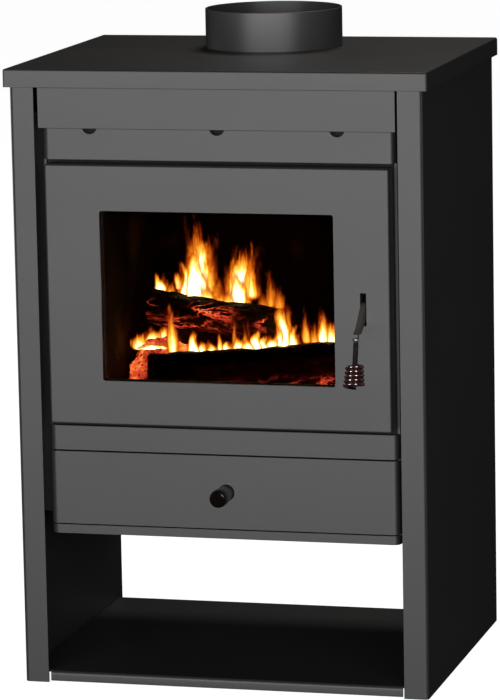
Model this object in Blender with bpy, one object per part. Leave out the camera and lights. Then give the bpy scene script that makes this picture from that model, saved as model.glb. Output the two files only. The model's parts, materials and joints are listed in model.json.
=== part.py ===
"""A slim wood burning stove: sheet-steel casing over a welded firebox, glazed door, ash drawer and log store.

Lengths are in millimetres and are turned into metres as each mesh is made. X is across the stove, Y runs from
front to back, Z is up, and the floor is Z = 0. Depths are counted back from the front of the top plate.
"""

import math

import bmesh
import bpy
from mathutils import Matrix, Vector

MM = 0.001

# Overall casing, as seen from above
WIDTH = 456.0
DEPTH = 369.5
GAP = 0.4
HANDLE_REACH = 59.632
ORIGIN_DEPTH = (DEPTH - HANDLE_REACH) / 2

# Heights, stacked from the floor up
LOG_STORE_HEIGHT = 163.0
LOWER_STRIP = 9.5
DRAWER_HEIGHT = 78.5
MIDDLE_STRIP = 32.3
DOOR_HEIGHT = 277.6
UPPER_STRIP = 37.9
FASCIA_HEIGHT = 42.4
PLATE_RIM = 19.3
DRAWER_GAP = 1.5
BODY_BOTTOM = LOG_STORE_HEIGHT
DRAWER_LOW = BODY_BOTTOM + LOWER_STRIP + DRAWER_GAP
DRAWER_HIGH = DRAWER_LOW + DRAWER_HEIGHT
DOOR_LOW = DRAWER_HIGH + MIDDLE_STRIP
DOOR_HIGH = DOOR_LOW + DOOR_HEIGHT
FASCIA_BOTTOM = DOOR_HIGH + UPPER_STRIP
HEIGHT = FASCIA_BOTTOM + FASCIA_HEIGHT + PLATE_RIM
BODY_TOP = HEIGHT - 28.0

# Top plate
PLATE_SHEET = 3.0
PLATE_ROUND = 2.2

# Side panels with a folded stile at the front, and the panel across the back
PANEL_INSET = 6.0
PANEL_SHEET = 2.5
PANEL_BEND = 3.2
STILE_FRONT = PLATE_SHEET + 0.5
STILE_WIDTH = 26.4
PANEL_BACK = DEPTH - PLATE_SHEET - 0.5
BACK_SHEET = 1.5

# Fascia strip under the plate
FASCIA_RECESS = 4.1
FASCIA_SIDE_GAP = 3.0
FASCIA_SHEET = 2.5
FASCIA_REST = 48.0

# Log store
SHELF_TOP = 12.5
SHELF_UNDER = 1.5
SHELF_SHEET = 2.5
SHELF_BACK = PANEL_BACK - 14.0
SHELF_SIDE_GAP = 1.8
SHELF_RECESS = 1.4

# Firebox body
BODY_SIDE_SPACE = 37.0
BODY_HALF = WIDTH / 2 - BODY_SIDE_SPACE
BODY_FRONT = 13.25
BODY_SHEET = 3.0
BODY_BEND = 6.5
BODY_RETURN = 62.0
BODY_BACK = PANEL_BACK - 20.0
SPACER_DEPTH = (30.0, 54.0)
WALL_OUT = BODY_HALF - BODY_SHEET - 0.6
WALL_SHEET = 4.0
TOP_SHEET = 4.0
AIR_HOLE_Z = FASCIA_BOTTOM + 0.6
AIR_HOLE_R = 8.3
AIR_HOLE_X = (-137.8, 0.9, 129.7)

# Door
DOOR_X = 1.6
DOOR_HALF = BODY_HALF - 5.4
DOOR_FRONT = -2.4
DOOR_DEPTH = 18.6
DOOR_BACK = DOOR_FRONT + DOOR_DEPTH
DOOR_SHEET = 2.5
DOOR_ROUND = 2.4
DOOR_SLOT_TOP = DOOR_HIGH + 3.2
DOOR_SLOT_LOW = DOOR_LOW - 4.6
INNER_FRAME_SHEET = 2.5
WINDOW_SIDE = 59.4
WINDOW_HALF = DOOR_HALF - WINDOW_SIDE
WINDOW_LOW = DOOR_LOW + 47.8
WINDOW_HIGH = DOOR_HIGH - 48.8
WINDOW_ROUND = 2.6
GLASS_THICK = 4.0
GLASS_LAP = 14.0
TAPE_THICK = 1.6

# Door hinge
HINGE_X = DOOR_X - DOOR_HALF + 9.0
HINGE_DEPTH = DOOR_FRONT + 9.4
HINGE_PIN_R = 2.4
HINGE_PLAY = 0.4
HINGE_EDGE = 38.0
LUG_HALF = 4.4
LUG_THICK = 5.0

# Door frame behind the door, and the rope seal between them
ROPE_SPACE = 6.3
FRAME_FRONT = DOOR_BACK + ROPE_SPACE
FRAME_SHEET = 4.0
FRAME_BACK = FRAME_FRONT + FRAME_SHEET
FRAME_BOTTOM = DRAWER_HIGH + 4.0
ROPE_HALF = 3.6
ROPE_LEFT = HINGE_X + 13.5
ROPE_RIGHT = DOOR_X + DOOR_HALF - 13.2
ROPE_LOW = DOOR_LOW + 11.2
ROPE_HIGH = DOOR_HIGH - 11.4

# Door handle. The pivot is just in front of the door's inner frame.
HANDLE_X = DOOR_X + DOOR_HALF - 28.5
HANDLE_LEVEL = (DOOR_LOW + DOOR_HIGH) / 2 - 8.6
HANDLE_PIVOT = (DOOR_BACK - INNER_FRAME_SHEET - 4.7, HANDLE_LEVEL)
HANDLE_THICK = 5.0
HANDLE_SLOT_HALF = HANDLE_THICK / 2 + 0.7
HANDLE_SLOT_LOW = HANDLE_LEVEL - 17.0
HANDLE_SLOT_HIGH = HANDLE_LEVEL + 17.3
HANDLE_PIN_R = 2.5
RING_AT = (-36.4, HANDLE_LEVEL - 24.4)
ROD_TILT = 14.5
ROD_R = 3.1
GRIP_START = 24.5
GRIP_LENGTH = 27.0
GRIP_TOP_R = 9.6
GRIP_END_R = 11.7
GRIP_WIRE_R = 2.55
GRIP_TURNS = 5.0
KEEPER_THICK = 2.8
HOOK_FRONT = FRAME_BACK + GAP + KEEPER_THICK + 0.7
HOOK_THICK = 4.0

# Firebox opening
OPENING_HALF = HANDLE_X - 10.7
OPENING_LOW = DOOR_LOW + 20.2
OPENING_HIGH = DOOR_HIGH - 20.4

# Firebox floor, grate, lining and baffle
FLOOR_TOP = DOOR_LOW + 3.2
FLOOR_SHEET = 4.0
BRICK = 24.0
BRICK_FRONT = HOOK_FRONT + HOOK_THICK + 7.6
BRICK_TOP = DOOR_HIGH - 14.4
GRATE_SIDE_SPACE = 69.4
GRATE_HALF = WALL_OUT - GRATE_SIDE_SPACE
GRATE_FRONT = 92.0
GRATE_BACK = BODY_BACK - 58.0
GRATE_THICK = 10.0
RETAINER_FRONT = BRICK_FRONT + 12.0
RETAINER_THICK = 5.0
RETAINER_DEPTH = (RETAINER_FRONT, RETAINER_FRONT + RETAINER_THICK)
RETAINER_HEIGHT = 36.0
BAFFLE_THICK = 6.0
BAFFLE_FRONT = 96.0

# Ash drawer
DRAWER_FRONT = BODY_FRONT - 1.0
DRAWER_SHEET = 2.5
TRAY_SHEET = 1.5
GUIDE_THICK = 4.0
GUIDE_PLAY = 2.0
TRAY_HALF = WALL_OUT - WALL_SHEET - 9.4 - GUIDE_THICK - GUIDE_PLAY
TRAY_TOP = DRAWER_HIGH - 12.5
TRAY_BACK = BODY_BACK - 46.0
KNOB_X = 4.0
KNOB_Z = DRAWER_LOW + 39.4
KNOB_REACH = 38.0
KNOB_R = 9.6

# Flue
FLUE_R = 75.0
FLUE_SHEET = 2.0
FLUE_DEPTH = DEPTH - 30.8 - FLUE_R
FLUE_RISE = 42.2

STEEL_PAINT = ("painted_steel", (0.13, 0.13, 0.135, 1.0), 0.55, 0.0)
INNER_STEEL = ("firebox_steel", (0.035, 0.034, 0.033, 1.0), 0.7, 0.0)
CAST_IRON = ("grate_iron", (0.05, 0.048, 0.046, 1.0), 0.8, 0.0)
BRICK_CLAY = ("firebrick", (0.42, 0.36, 0.28, 1.0), 0.9, 0.0)
CLEAR_GLASS = ("door_glass", (0.9, 0.93, 0.93, 0.3), 0.05, 0.0)
ROPE_FIBRE = ("rope_seal", (0.75, 0.73, 0.68, 1.0), 0.95, 0.0)
BRIGHT_STEEL = ("handle_steel", (0.55, 0.55, 0.55, 1.0), 0.3, 1.0)
DARK_STEEL = ("handle_black", (0.03, 0.025, 0.024, 1.0), 0.4, 0.6)
MOULDED = ("knob_plastic", (0.03, 0.018, 0.014, 1.0), 0.3, 0.0)
FIREWOOD = ("firewood", (0.2, 0.11, 0.06, 1.0), 0.9, 0.0)


def clear_scene():
    """Removes the startup objects."""
    for obj in list(bpy.data.objects):
        bpy.data.objects.remove(obj, do_unlink=True)


def material(spec):
    """The Principled material for a (name, colour, roughness, metallic) spec."""
    name, colour, roughness, metallic = spec
    found = bpy.data.materials.get(name)
    if found:
        return found
    made = bpy.data.materials.new(name)
    made.use_nodes = True
    shader = made.node_tree.nodes["Principled BSDF"]
    shader.inputs["Base Color"].default_value = colour
    shader.inputs["Roughness"].default_value = roughness
    shader.inputs["Metallic"].default_value = metallic
    shader.inputs["Alpha"].default_value = colour[3]
    return made


def world(x, depth, z):
    """A point in metres, from millimetres across, back from the plate's front, and up."""
    return Vector((x * MM, (depth - ORIGIN_DEPTH) * MM, z * MM))


def finish(bm, name, spec):
    """Turns a bmesh whose normals face out into a named object."""
    bmesh.ops.recalc_face_normals(bm, faces=bm.faces)
    mesh = bpy.data.meshes.new(name)
    bm.to_mesh(mesh)
    bm.free()
    obj = bpy.data.objects.new(name, mesh)
    bpy.context.scene.collection.objects.link(obj)
    if spec:
        mesh.materials.append(material(spec))
    return obj


def loft(bm, rings, closed=False):
    """Joins rings of points into a tube, with caps at both ends unless it closes on itself."""
    made = [[bm.verts.new(point) for point in ring] for ring in rings]
    size = len(made[0])
    pairs = list(zip(made, made[1:]))
    if closed:
        pairs.append((made[-1], made[0]))
    for lower, upper in pairs:
        for i in range(size):
            j = (i + 1) % size
            bm.faces.new((lower[i], lower[j], upper[j], upper[i]))
    if not closed:
        bm.faces.new(made[0][::-1])
        bm.faces.new(made[-1])


def box(name, x, depth, z, spec, rounding=0.0, where=None, segments=3):
    """A box from three (low, high) pairs. Edges whose middle satisfies where() are rounded."""
    bm = bmesh.new()
    corners = [(x[0], depth[0]), (x[1], depth[0]), (x[1], depth[1]), (x[0], depth[1])]
    rings = [[world(a, b, height) for a, b in corners] for height in z]
    loft(bm, rings)
    if rounding:
        chosen = []
        for edge in bm.edges:
            middle = (edge.verts[0].co + edge.verts[1].co) / 2
            if where((middle.x / MM, middle.y / MM + ORIGIN_DEPTH, middle.z / MM)):
                chosen.append(edge)
        bmesh.ops.bevel(
            bm,
            geom=chosen,
            offset=rounding * MM,
            offset_type="OFFSET",
            affect="EDGES",
            segments=segments,
            profile=0.5,
            material=-1,
        )
    return finish(bm, name, spec)


def prism(name, outline, along, low, high, spec):
    """Pushes a flat outline along X, Y or Z. The outline is (Y, Z), (X, Z) or (X, Y) in that order."""
    place = {
        "X": lambda u, v, w: world(w, u, v),
        "Y": lambda u, v, w: world(u, w, v),
        "Z": lambda u, v, w: world(u, v, w),
    }[along]
    bm = bmesh.new()
    loft(bm, [[place(u, v, w) for u, v in outline] for w in (low, high)])
    return finish(bm, name, spec)


def fold(path, sheet, bend, steps=4):
    """The outline of a folded sheet that follows a centre line, with a round bend at each inner corner."""
    left = []
    right = []

    def put(point, normal):
        left.append(tuple(point + normal * sheet / 2))
        right.append(tuple(point - normal * sheet / 2))

    points = [Vector(p) for p in path]
    for i, point in enumerate(points):
        before = (point - points[i - 1]).normalized() if i else None
        after = (points[i + 1] - point).normalized() if i + 1 < len(points) else None
        if before is None or after is None:
            ahead = after if before is None else before
            put(point, Vector((-ahead.y, ahead.x)))
            continue
        turn = math.atan2(before.x * after.y - before.y * after.x, before.dot(after))
        back = bend * math.tan(abs(turn) / 2)
        start = point - before * back
        side = Vector((-before.y, before.x)) * (1 if turn > 0 else -1)
        centre = start + side * bend
        for step in range(steps + 1):
            spin = Matrix.Rotation(turn * step / steps, 2)
            arm = spin @ (start - centre)
            ahead = spin @ before
            put(centre + arm, Vector((-ahead.y, ahead.x)))
    return left + right[::-1]


def ring_points(centre, along, radius, segments):
    """Points on a circle about a centre, in the plane square to a direction."""
    along = along.normalized()
    helper = Vector((0, 0, 1)) if abs(along.z) < 0.9 else Vector((1, 0, 0))
    across = along.cross(helper).normalized()
    up = along.cross(across)
    found = []
    for i in range(segments):
        angle = 2 * math.pi * i / segments
        found.append(centre + (across * math.cos(angle) + up * math.sin(angle)) * radius)
    return found


def lathe(name, start, along, profile, spec, segments=24):
    """A solid of revolution. The profile is (distance along, radius) pairs in millimetres from one end to the other."""
    bm = bmesh.new()
    direction = Vector(along).normalized()
    rings = []
    for distance, radius in profile:
        rings.append(ring_points(start + direction * distance * MM, direction, radius * MM, segments))
    loft(bm, rings)
    return finish(bm, name, spec)


def pipe(name, start, along, length, outer, inner, spec, segments=48):
    """A round tube with flat ends."""
    bm = bmesh.new()
    direction = Vector(along).normalized()
    rings = []
    for distance, radius in ((0, inner), (0, outer), (length, outer), (length, inner)):
        rings.append(ring_points(start + direction * distance * MM, direction, radius * MM, segments))
    loft(bm, rings, closed=True)
    return finish(bm, name, spec)


def boolean(obj, cutters, operation="DIFFERENCE"):
    """Cuts or joins hidden helpers, and leaves the result as the object's own mesh."""
    for cutter in cutters:
        modifier = obj.modifiers.new("cut", "BOOLEAN")
        modifier.operation = operation
        modifier.solver = "EXACT"
        modifier.object = cutter
    bpy.context.view_layer.update()
    graph = bpy.context.evaluated_depsgraph_get()
    result = bpy.data.meshes.new_from_object(obj.evaluated_get(graph))
    obj.modifiers.clear()
    obj.data = result
    for cutter in cutters:
        bpy.data.objects.remove(cutter, do_unlink=True)
    return obj


def cut(obj, *cutters):
    """Subtracts the cutters."""
    return boolean(obj, cutters)


def weld(obj, *others):
    """Joins the others to the object."""
    return boolean(obj, others, "UNION")


def hang_on(obj, point):
    """Moves an object's origin to a point on its joint's axis, leaving the mesh where it is."""
    obj.data.transform(Matrix.Translation(-point))
    obj.location = point
    return obj


def rounded_outline(x, z, radius, steps=4):
    """A rectangle with round corners, as an outline."""
    found = []
    corners = ((x[1], z[1], 0), (x[0], z[1], 90), (x[0], z[0], 180), (x[1], z[0], 270))
    for cx, cz, turn in corners:
        centre_x = cx - radius if cx == x[1] else cx + radius
        centre_z = cz - radius if cz == z[1] else cz + radius
        for step in range(steps + 1):
            angle = math.radians(turn + 90 * step / steps)
            found.append((centre_x + radius * math.cos(angle), centre_z + radius * math.sin(angle)))
    return found


# ---------------------------------------------------------------- casing


def side_panel(name, side):
    """A single-skin panel: folded stile at the front, flat side, back edge left plain."""
    outer = WIDTH / 2 - PANEL_INSET
    middle = outer - PANEL_SHEET / 2
    stile = STILE_FRONT + PANEL_SHEET / 2
    path = [(side * (outer - STILE_WIDTH), stile), (side * middle, stile), (side * middle, PANEL_BACK)]
    outline = fold(path, PANEL_SHEET, PANEL_BEND)
    return prism(name, outline, "Z", 0.0, HEIGHT - PLATE_SHEET - GAP, STEEL_PAINT)


def top_plate():
    """The plate with its rim folded down all round and a hole for the flue collar."""
    half = WIDTH / 2

    def outside(middle):
        upright = abs(middle[2] - (HEIGHT - PLATE_RIM / 2)) < 0.1
        return upright or middle[2] > HEIGHT - 0.1

    plate = box(
        "top_plate",
        (-half, half),
        (0.0, DEPTH),
        (HEIGHT - PLATE_RIM, HEIGHT),
        STEEL_PAINT,
        PLATE_ROUND,
        outside,
    )
    inner = half - PLATE_SHEET
    hollow = box(
        "hollow",
        (-inner, inner),
        (PLATE_SHEET, DEPTH - PLATE_SHEET),
        (HEIGHT - PLATE_RIM - 5, HEIGHT - PLATE_SHEET),
        None,
    )
    start = world(0, FLUE_DEPTH, HEIGHT - PLATE_SHEET - 5)
    bore = lathe("bore", start, (0, 0, 1), ((0, FLUE_R + GAP), (20, FLUE_R + GAP)), None, 48)
    return cut(plate, hollow, bore)


def fascia_panel():
    """The strip under the top plate, folded back over the firebox's top."""
    half = WIDTH / 2 - PANEL_INSET - STILE_WIDTH - FASCIA_SIDE_GAP
    face = STILE_FRONT + FASCIA_RECESS + FASCIA_SHEET / 2
    top = BODY_TOP + GAP + TOP_SHEET + GAP + FASCIA_SHEET / 2
    path = [(face, FASCIA_BOTTOM), (face, top), (FASCIA_REST, top)]
    return prism("fascia_panel", fold(path, FASCIA_SHEET, 2.2), "X", -half, half, STEEL_PAINT)


def log_shelf():
    """The log store's floor with its front edge folded down."""
    half = WIDTH / 2 - PANEL_INSET - PANEL_SHEET - GAP
    face = STILE_FRONT + SHELF_RECESS
    path = [
        (face + SHELF_SHEET / 2, SHELF_UNDER),
        (face + SHELF_SHEET / 2, SHELF_TOP - SHELF_SHEET / 2),
        (SHELF_BACK, SHELF_TOP - SHELF_SHEET / 2),
    ]
    shelf = prism("log_shelf", fold(path, SHELF_SHEET, 2.6), "X", -half, half, STEEL_PAINT)
    front_half = WIDTH / 2 - PANEL_INSET - STILE_WIDTH - SHELF_SIDE_GAP
    back_of_stile = STILE_FRONT + PANEL_SHEET + PANEL_BEND + 0.5
    notches = []
    for side in (-1, 1):
        span = sorted((side * front_half, side * (half + 10)))
        notches.append(box("notch", span, (0, back_of_stile), (-5, 40), None))
    return cut(shelf, *notches)


def back_panel():
    """The rear shield behind the firebox, clear of it by an air space."""
    half = WIDTH / 2 - PANEL_INSET - PANEL_SHEET - GAP
    edge = half - BACK_SHEET / 2
    face = PANEL_BACK - BACK_SHEET / 2
    path = [(-edge, face - 12), (-edge, face), (edge, face), (edge, face - 12)]
    top = HEIGHT - PLATE_RIM - 6
    return prism("back_panel", fold(path, BACK_SHEET, 2.0), "Z", BODY_BOTTOM, top, STEEL_PAINT)


def side_spacer(name, side):
    """The box-section spacer that holds a side panel off the hot body."""
    span = sorted((side * (BODY_HALF + GAP), side * (WIDTH / 2 - PANEL_INSET - PANEL_SHEET - GAP)))
    return box(name, span, SPACER_DEPTH, (BODY_BOTTOM + 20, BODY_TOP - 20), INNER_STEEL)


# ---------------------------------------------------------------- firebox


def firebox_front():
    """The body's front skin, wrapped round both sides, with the door and drawer openings cut through the bends."""
    edge = BODY_HALF - BODY_SHEET / 2
    face = BODY_FRONT + BODY_SHEET / 2
    path = [(-edge, BODY_RETURN), (-edge, face), (edge, face), (edge, BODY_RETURN)]
    skin = prism("firebox_front", fold(path, BODY_SHEET, BODY_BEND), "Z", BODY_BOTTOM, BODY_TOP, STEEL_PAINT)
    behind_bend = BODY_FRONT + BODY_BEND + BODY_SHEET / 2 + 0.2
    span = (-BODY_HALF - 5, BODY_HALF + 5)
    door = box("door_cut", span, (0, behind_bend), (DOOR_SLOT_LOW, DOOR_SLOT_TOP), None)
    drawer_z = (DRAWER_LOW - DRAWER_GAP, DRAWER_HIGH + DRAWER_GAP)
    drawer = box("drawer_cut", span, (0, behind_bend), drawer_z, None)
    holes = []
    for x in AIR_HOLE_X:
        start = world(x, BODY_FRONT - 5, AIR_HOLE_Z)
        holes.append(lathe("hole", start, (0, 1, 0), ((0, AIR_HOLE_R), (20, AIR_HOLE_R)), None, 24))
    return cut(skin, door, drawer, *holes)


def door_frame():
    """The flat plate that the door closes on, with the firebox opening and a slot for the latch."""
    plate = box(
        "door_frame",
        (-WALL_OUT, WALL_OUT),
        (FRAME_FRONT, FRAME_FRONT + FRAME_SHEET),
        (FRAME_BOTTOM, BODY_TOP - GAP),
        INNER_STEEL,
    )
    outline = rounded_outline((-OPENING_HALF, OPENING_HALF), (OPENING_LOW, OPENING_HIGH), 10.0)
    opening = prism("opening", outline, "Y", FRAME_FRONT - 5, FRAME_FRONT + 15, None)
    slot_x = (HANDLE_X - HANDLE_THICK / 2 - 2, HANDLE_X + HANDLE_THICK / 2 + 2)
    slot = box("slot", slot_x, (FRAME_FRONT - 5, FRAME_FRONT + 15), (HANDLE_LEVEL - 21, HANDLE_LEVEL + 10), None)
    return cut(plate, opening, slot)


def firebox_wall(name, side):
    """A welded side of the firebox, from the ash chamber's floor to its top."""
    span = sorted((side * WALL_OUT, side * (WALL_OUT - WALL_SHEET)))
    front = FRAME_BACK + GAP
    return box(name, span, (front, BODY_BACK), (BODY_BOTTOM + 3 + GAP, BODY_TOP), INNER_STEEL)


def firebox_back():
    """The firebox's back plate."""
    span = (-WALL_OUT, WALL_OUT)
    depth = (BODY_BACK + GAP, BODY_BACK + GAP + WALL_SHEET)
    return box("firebox_wall_back", span, depth, (BODY_BOTTOM, BODY_TOP), INNER_STEEL)


def firebox_top():
    """The firebox's top, with the flue outlet."""
    span = (-BODY_HALF, BODY_HALF)
    low = BODY_TOP + GAP
    plate = box("firebox_top", span, (BODY_FRONT, BODY_BACK + 4), (low, low + TOP_SHEET), INNER_STEEL)
    start = world(0, FLUE_DEPTH, low - 5)
    bore = lathe("bore", start, (0, 0, 1), ((0, FLUE_R - FLUE_SHEET), (20, FLUE_R - FLUE_SHEET)), None, 48)
    return cut(plate, bore)


def firebox_floor():
    """The plate under the fire, open under the grate."""
    half = WALL_OUT - WALL_SHEET - GAP
    front = FRAME_BACK + GAP
    plate = box("firebox_floor", (-half, half), (front, BODY_BACK), (FLOOR_TOP - FLOOR_SHEET, FLOOR_TOP), INNER_STEEL)
    inner = GRATE_HALF - 10
    hole = box("hole", (-inner, inner), (GRATE_FRONT + 10, GRATE_BACK - 10), (FLOOR_TOP - 20, FLOOR_TOP + 20), None)
    return cut(plate, hole)


def ash_chamber_floor():
    """The body's bottom plate, which the drawer runs over."""
    span = (-WALL_OUT, WALL_OUT)
    depth = (FRAME_FRONT, BODY_BACK)
    return box("ash_chamber_floor", span, depth, (BODY_BOTTOM, BODY_BOTTOM + 3), INNER_STEEL)


def drawer_guide(name, side):
    """A strip that keeps the drawer straight."""
    span = sorted((side * (TRAY_HALF + GUIDE_PLAY), side * (TRAY_HALF + GUIDE_PLAY + GUIDE_THICK)))
    low = BODY_BOTTOM + 3 + GAP
    return box(name, span, (FRAME_FRONT, TRAY_BACK + 20), (low, low + 22), INNER_STEEL)


def drawer_stop():
    """The strip across the back of the chamber that the drawer closes against."""
    low = BODY_BOTTOM + 3 + GAP
    return box("drawer_stop", (-60, 60), (TRAY_BACK + 3, TRAY_BACK + 7), (low, low + 18), INNER_STEEL)


def flue_collar():
    """The round spigot for the flue pipe."""
    low = BODY_TOP + GAP + TOP_SHEET + GAP
    length = HEIGHT + FLUE_RISE - low
    start = world(0, FLUE_DEPTH, low)
    return pipe("flue_collar", start, (0, 0, 1), length, FLUE_R, FLUE_R - FLUE_SHEET, STEEL_PAINT, 64)


def baffle_plate():
    """The plate that turns the smoke forward before it reaches the flue."""
    half = WALL_OUT - WALL_SHEET - 1.5
    low = BRICK_TOP + GAP
    return box("baffle_plate", (-half, half), (BAFFLE_FRONT, BODY_BACK - 3), (low, low + BAFFLE_THICK), INNER_STEEL)


def side_brick(name, side):
    """A firebrick slab against one side wall."""
    inner = WALL_OUT - WALL_SHEET - 1.0
    span = sorted((side * inner, side * (inner - BRICK)))
    depth = (BRICK_FRONT, BODY_BACK - 2)
    return box(name, span, depth, (FLOOR_TOP + GAP, BRICK_TOP), BRICK_CLAY, 1.5, lambda middle: True, 1)


def back_brick():
    """The firebrick slab between the side slabs."""
    half = WALL_OUT - WALL_SHEET - 1.0 - BRICK - 1.0
    depth = (BODY_BACK - 2 - BRICK, BODY_BACK - 2)
    return box("firebrick_back", (-half, half), depth, (FLOOR_TOP + GAP, BRICK_TOP), BRICK_CLAY, 1.5, lambda middle: True, 1)


def grate():
    """The cast grate with long slots between its bars."""
    low = FLOOR_TOP + GAP
    plate = box("grate", (-GRATE_HALF, GRATE_HALF), (GRATE_FRONT, GRATE_BACK), (low, low + GRATE_THICK), CAST_IRON)
    slots = []
    count = 9
    pitch = (2 * GRATE_HALF - 30) / count
    for i in range(count):
        centre = -GRATE_HALF + 15 + pitch * (i + 0.5)
        span = (centre - 5.5, centre + 5.5)
        slots.append(box("slot", span, (GRATE_FRONT + 14, GRATE_BACK - 14), (low - 5, low + 40), None))
    return cut(plate, *slots)


def log_retainer():
    """The low fence that stops logs rolling against the glass."""
    low = FLOOR_TOP + GAP
    half = WALL_OUT - WALL_SHEET - 1.0 - BRICK - 1.5
    return box("log_retainer", (-half, half), RETAINER_DEPTH, (low, low + RETAINER_HEIGHT), CAST_IRON, 1.0, lambda middle: True, 1)


def airwash_deflector():
    """The folded strip that sends air down the inside of the glass."""
    face = FRAME_BACK + 3.2
    path = [(face, DOOR_HIGH + 22.6), (face, DOOR_HIGH - 2.4), (face + 22.3, BRICK_TOP + 4.0)]
    half = WALL_OUT - WALL_SHEET - 2.0
    return prism("airwash_deflector", fold(path, 2.0, 2.5), "X", -half, half, INNER_STEEL)


def split_log(name, start, end, radius, corner):
    """A split log: a length of trunk with flat riven faces, resting across the grate."""
    first = world(*start)
    last = world(*end)
    along = (last - first).normalized()
    across = along.cross(Vector((0, 0, 1))).normalized()
    up = across.cross(along)
    rings = []
    for part in range(5):
        share = part / 4
        centre = first.lerp(last, share)
        swell = 1 + 0.05 * math.sin(2.3 * part + corner)
        ring = []
        for i in range(9):
            angle = 2 * math.pi * i / 9 + corner
            reach = radius * swell * (1 - 0.16 * (1 + math.cos(3 * angle + corner)) / 2)
            ring.append(centre + (across * math.cos(angle) + up * math.sin(angle)) * reach * MM)
        rings.append(ring)
    bm = bmesh.new()
    loft(bm, rings)
    return finish(bm, name, FIREWOOD)


# ---------------------------------------------------------------- hinge


def hinge_levels():
    """Heights of the two lugs' middles."""
    return (("lower", DOOR_LOW + HINGE_EDGE), ("upper", DOOR_HIGH - HINGE_EDGE))


def hinge_lug(name, level):
    """A lug welded to the door frame, with the hole for its pin."""
    lug = box(
        name,
        (HINGE_X - LUG_HALF, HINGE_X + LUG_HALF),
        (HINGE_DEPTH - LUG_HALF, FRAME_FRONT - GAP),
        (level - LUG_THICK / 2, level + LUG_THICK / 2),
        INNER_STEEL,
    )
    start = world(HINGE_X, HINGE_DEPTH, level - 10)
    return cut(lug, lathe("bore", start, (0, 0, 1), ((0, HINGE_PIN_R + 0.3), (20, HINGE_PIN_R + 0.3)), None, 24))


def hinge_pin(name, level):
    """The pin through a lug, on which the door's hinge block turns."""
    start = world(HINGE_X, HINGE_DEPTH, level - 14)
    profile = ((0, HINGE_PIN_R - 0.5), (0.8, HINGE_PIN_R), (17.2, HINGE_PIN_R), (17.2, HINGE_PIN_R + 1.4), (19.2, HINGE_PIN_R + 1.4))
    return lathe(name, start, (0, 0, 1), profile, BRIGHT_STEEL, 24)


def door_hinge_block(name, level):
    """The bored block inside the door that hangs below a lug on its pin."""
    top = level - LUG_THICK / 2 - GAP
    block = box(
        name,
        (HINGE_X - 5.5, HINGE_X + LUG_HALF + 4.4),
        (DOOR_FRONT + DOOR_SHEET + GAP, HINGE_DEPTH + 5.5),
        (top - 10, top),
        INNER_STEEL,
    )
    radius = HINGE_PIN_R + HINGE_PLAY
    start = world(HINGE_X, HINGE_DEPTH, top - 20)
    return cut(block, lathe("bore", start, (0, 0, 1), ((0, radius), (40, radius)), None, 24))


# ---------------------------------------------------------------- door


def door_shell():
    """The folded door pan: front with the window, four walls, slots for the hinge lugs and the handle."""
    x = (DOOR_X - DOOR_HALF, DOOR_X + DOOR_HALF)
    back = DOOR_BACK
    pan = box(
        "door_shell",
        x,
        (DOOR_FRONT, back),
        (DOOR_LOW, DOOR_HIGH),
        STEEL_PAINT,
        DOOR_ROUND,
        lambda middle: middle[1] < back - 0.1,
        4,
    )
    hollow = box(
        "hollow",
        (x[0] + DOOR_SHEET, x[1] - DOOR_SHEET),
        (DOOR_FRONT + DOOR_SHEET, back + 5),
        (DOOR_LOW + DOOR_SHEET, DOOR_HIGH - DOOR_SHEET),
        None,
    )
    span = (DOOR_X - WINDOW_HALF, DOOR_X + WINDOW_HALF)
    outline = rounded_outline(span, (WINDOW_LOW, WINDOW_HIGH), WINDOW_ROUND)
    window = prism("window", outline, "Y", DOOR_FRONT - 5, back + 5, None)
    cutters = [hollow, window]
    for word, level in hinge_levels():
        reach = LUG_THICK / 2 + 1.0
        depth = (DOOR_FRONT + DOOR_SHEET + 0.2, back + 5)
        cutters.append(box("slot", (x[0] - 5, x[0] + 5), depth, (level - reach, level + reach), None))
    slot = (HANDLE_X - HANDLE_SLOT_HALF, HANDLE_X + HANDLE_SLOT_HALF)
    cutters.append(box("slot", slot, (DOOR_FRONT - 5, DOOR_FRONT + 6), (HANDLE_SLOT_LOW, HANDLE_SLOT_HIGH), None))
    return cut(pan, *cutters)


def door_inner_frame():
    """The flat frame that stiffens the door's back and backs the rope seal."""
    back = DOOR_BACK
    x = (HINGE_X + LUG_HALF + 5, DOOR_X + DOOR_HALF - DOOR_SHEET - GAP)
    z = (DOOR_LOW + DOOR_SHEET + GAP, DOOR_HIGH - DOOR_SHEET - GAP)
    frame = box("door_inner_frame", x, (back - INNER_FRAME_SHEET, back), z, INNER_STEEL)
    lap = GLASS_LAP + 3
    opening = box(
        "opening",
        (DOOR_X - WINDOW_HALF - lap, DOOR_X + WINDOW_HALF + lap),
        (back - 10, back + 10),
        (WINDOW_LOW - lap, WINDOW_HIGH + lap),
        None,
    )
    slot_x = (HANDLE_X - HANDLE_THICK / 2 - 1.2, HANDLE_X + HANDLE_THICK / 2 + 1.2)
    slot = box("slot", slot_x, (back - 10, back + 10), (HANDLE_LEVEL - 19, HANDLE_LEVEL + 19), None)
    return cut(frame, opening, slot)


def glass_box(lap, front, back, name, spec):
    """A flat slab that laps behind the window."""
    x = (DOOR_X - WINDOW_HALF - lap, DOOR_X + WINDOW_HALF + lap)
    return box(name, x, (front, back), (WINDOW_LOW - lap, WINDOW_HIGH + lap), spec)


def glass_gasket():
    """The flat tape between the door and its glass."""
    front = DOOR_FRONT + DOOR_SHEET + GAP
    tape = glass_box(GLASS_LAP, front, front + TAPE_THICK, "glass_gasket", ROPE_FIBRE)
    hole = glass_box(1.5, front - 5, front + 10, "hole", None)
    return cut(tape, hole)


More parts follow.
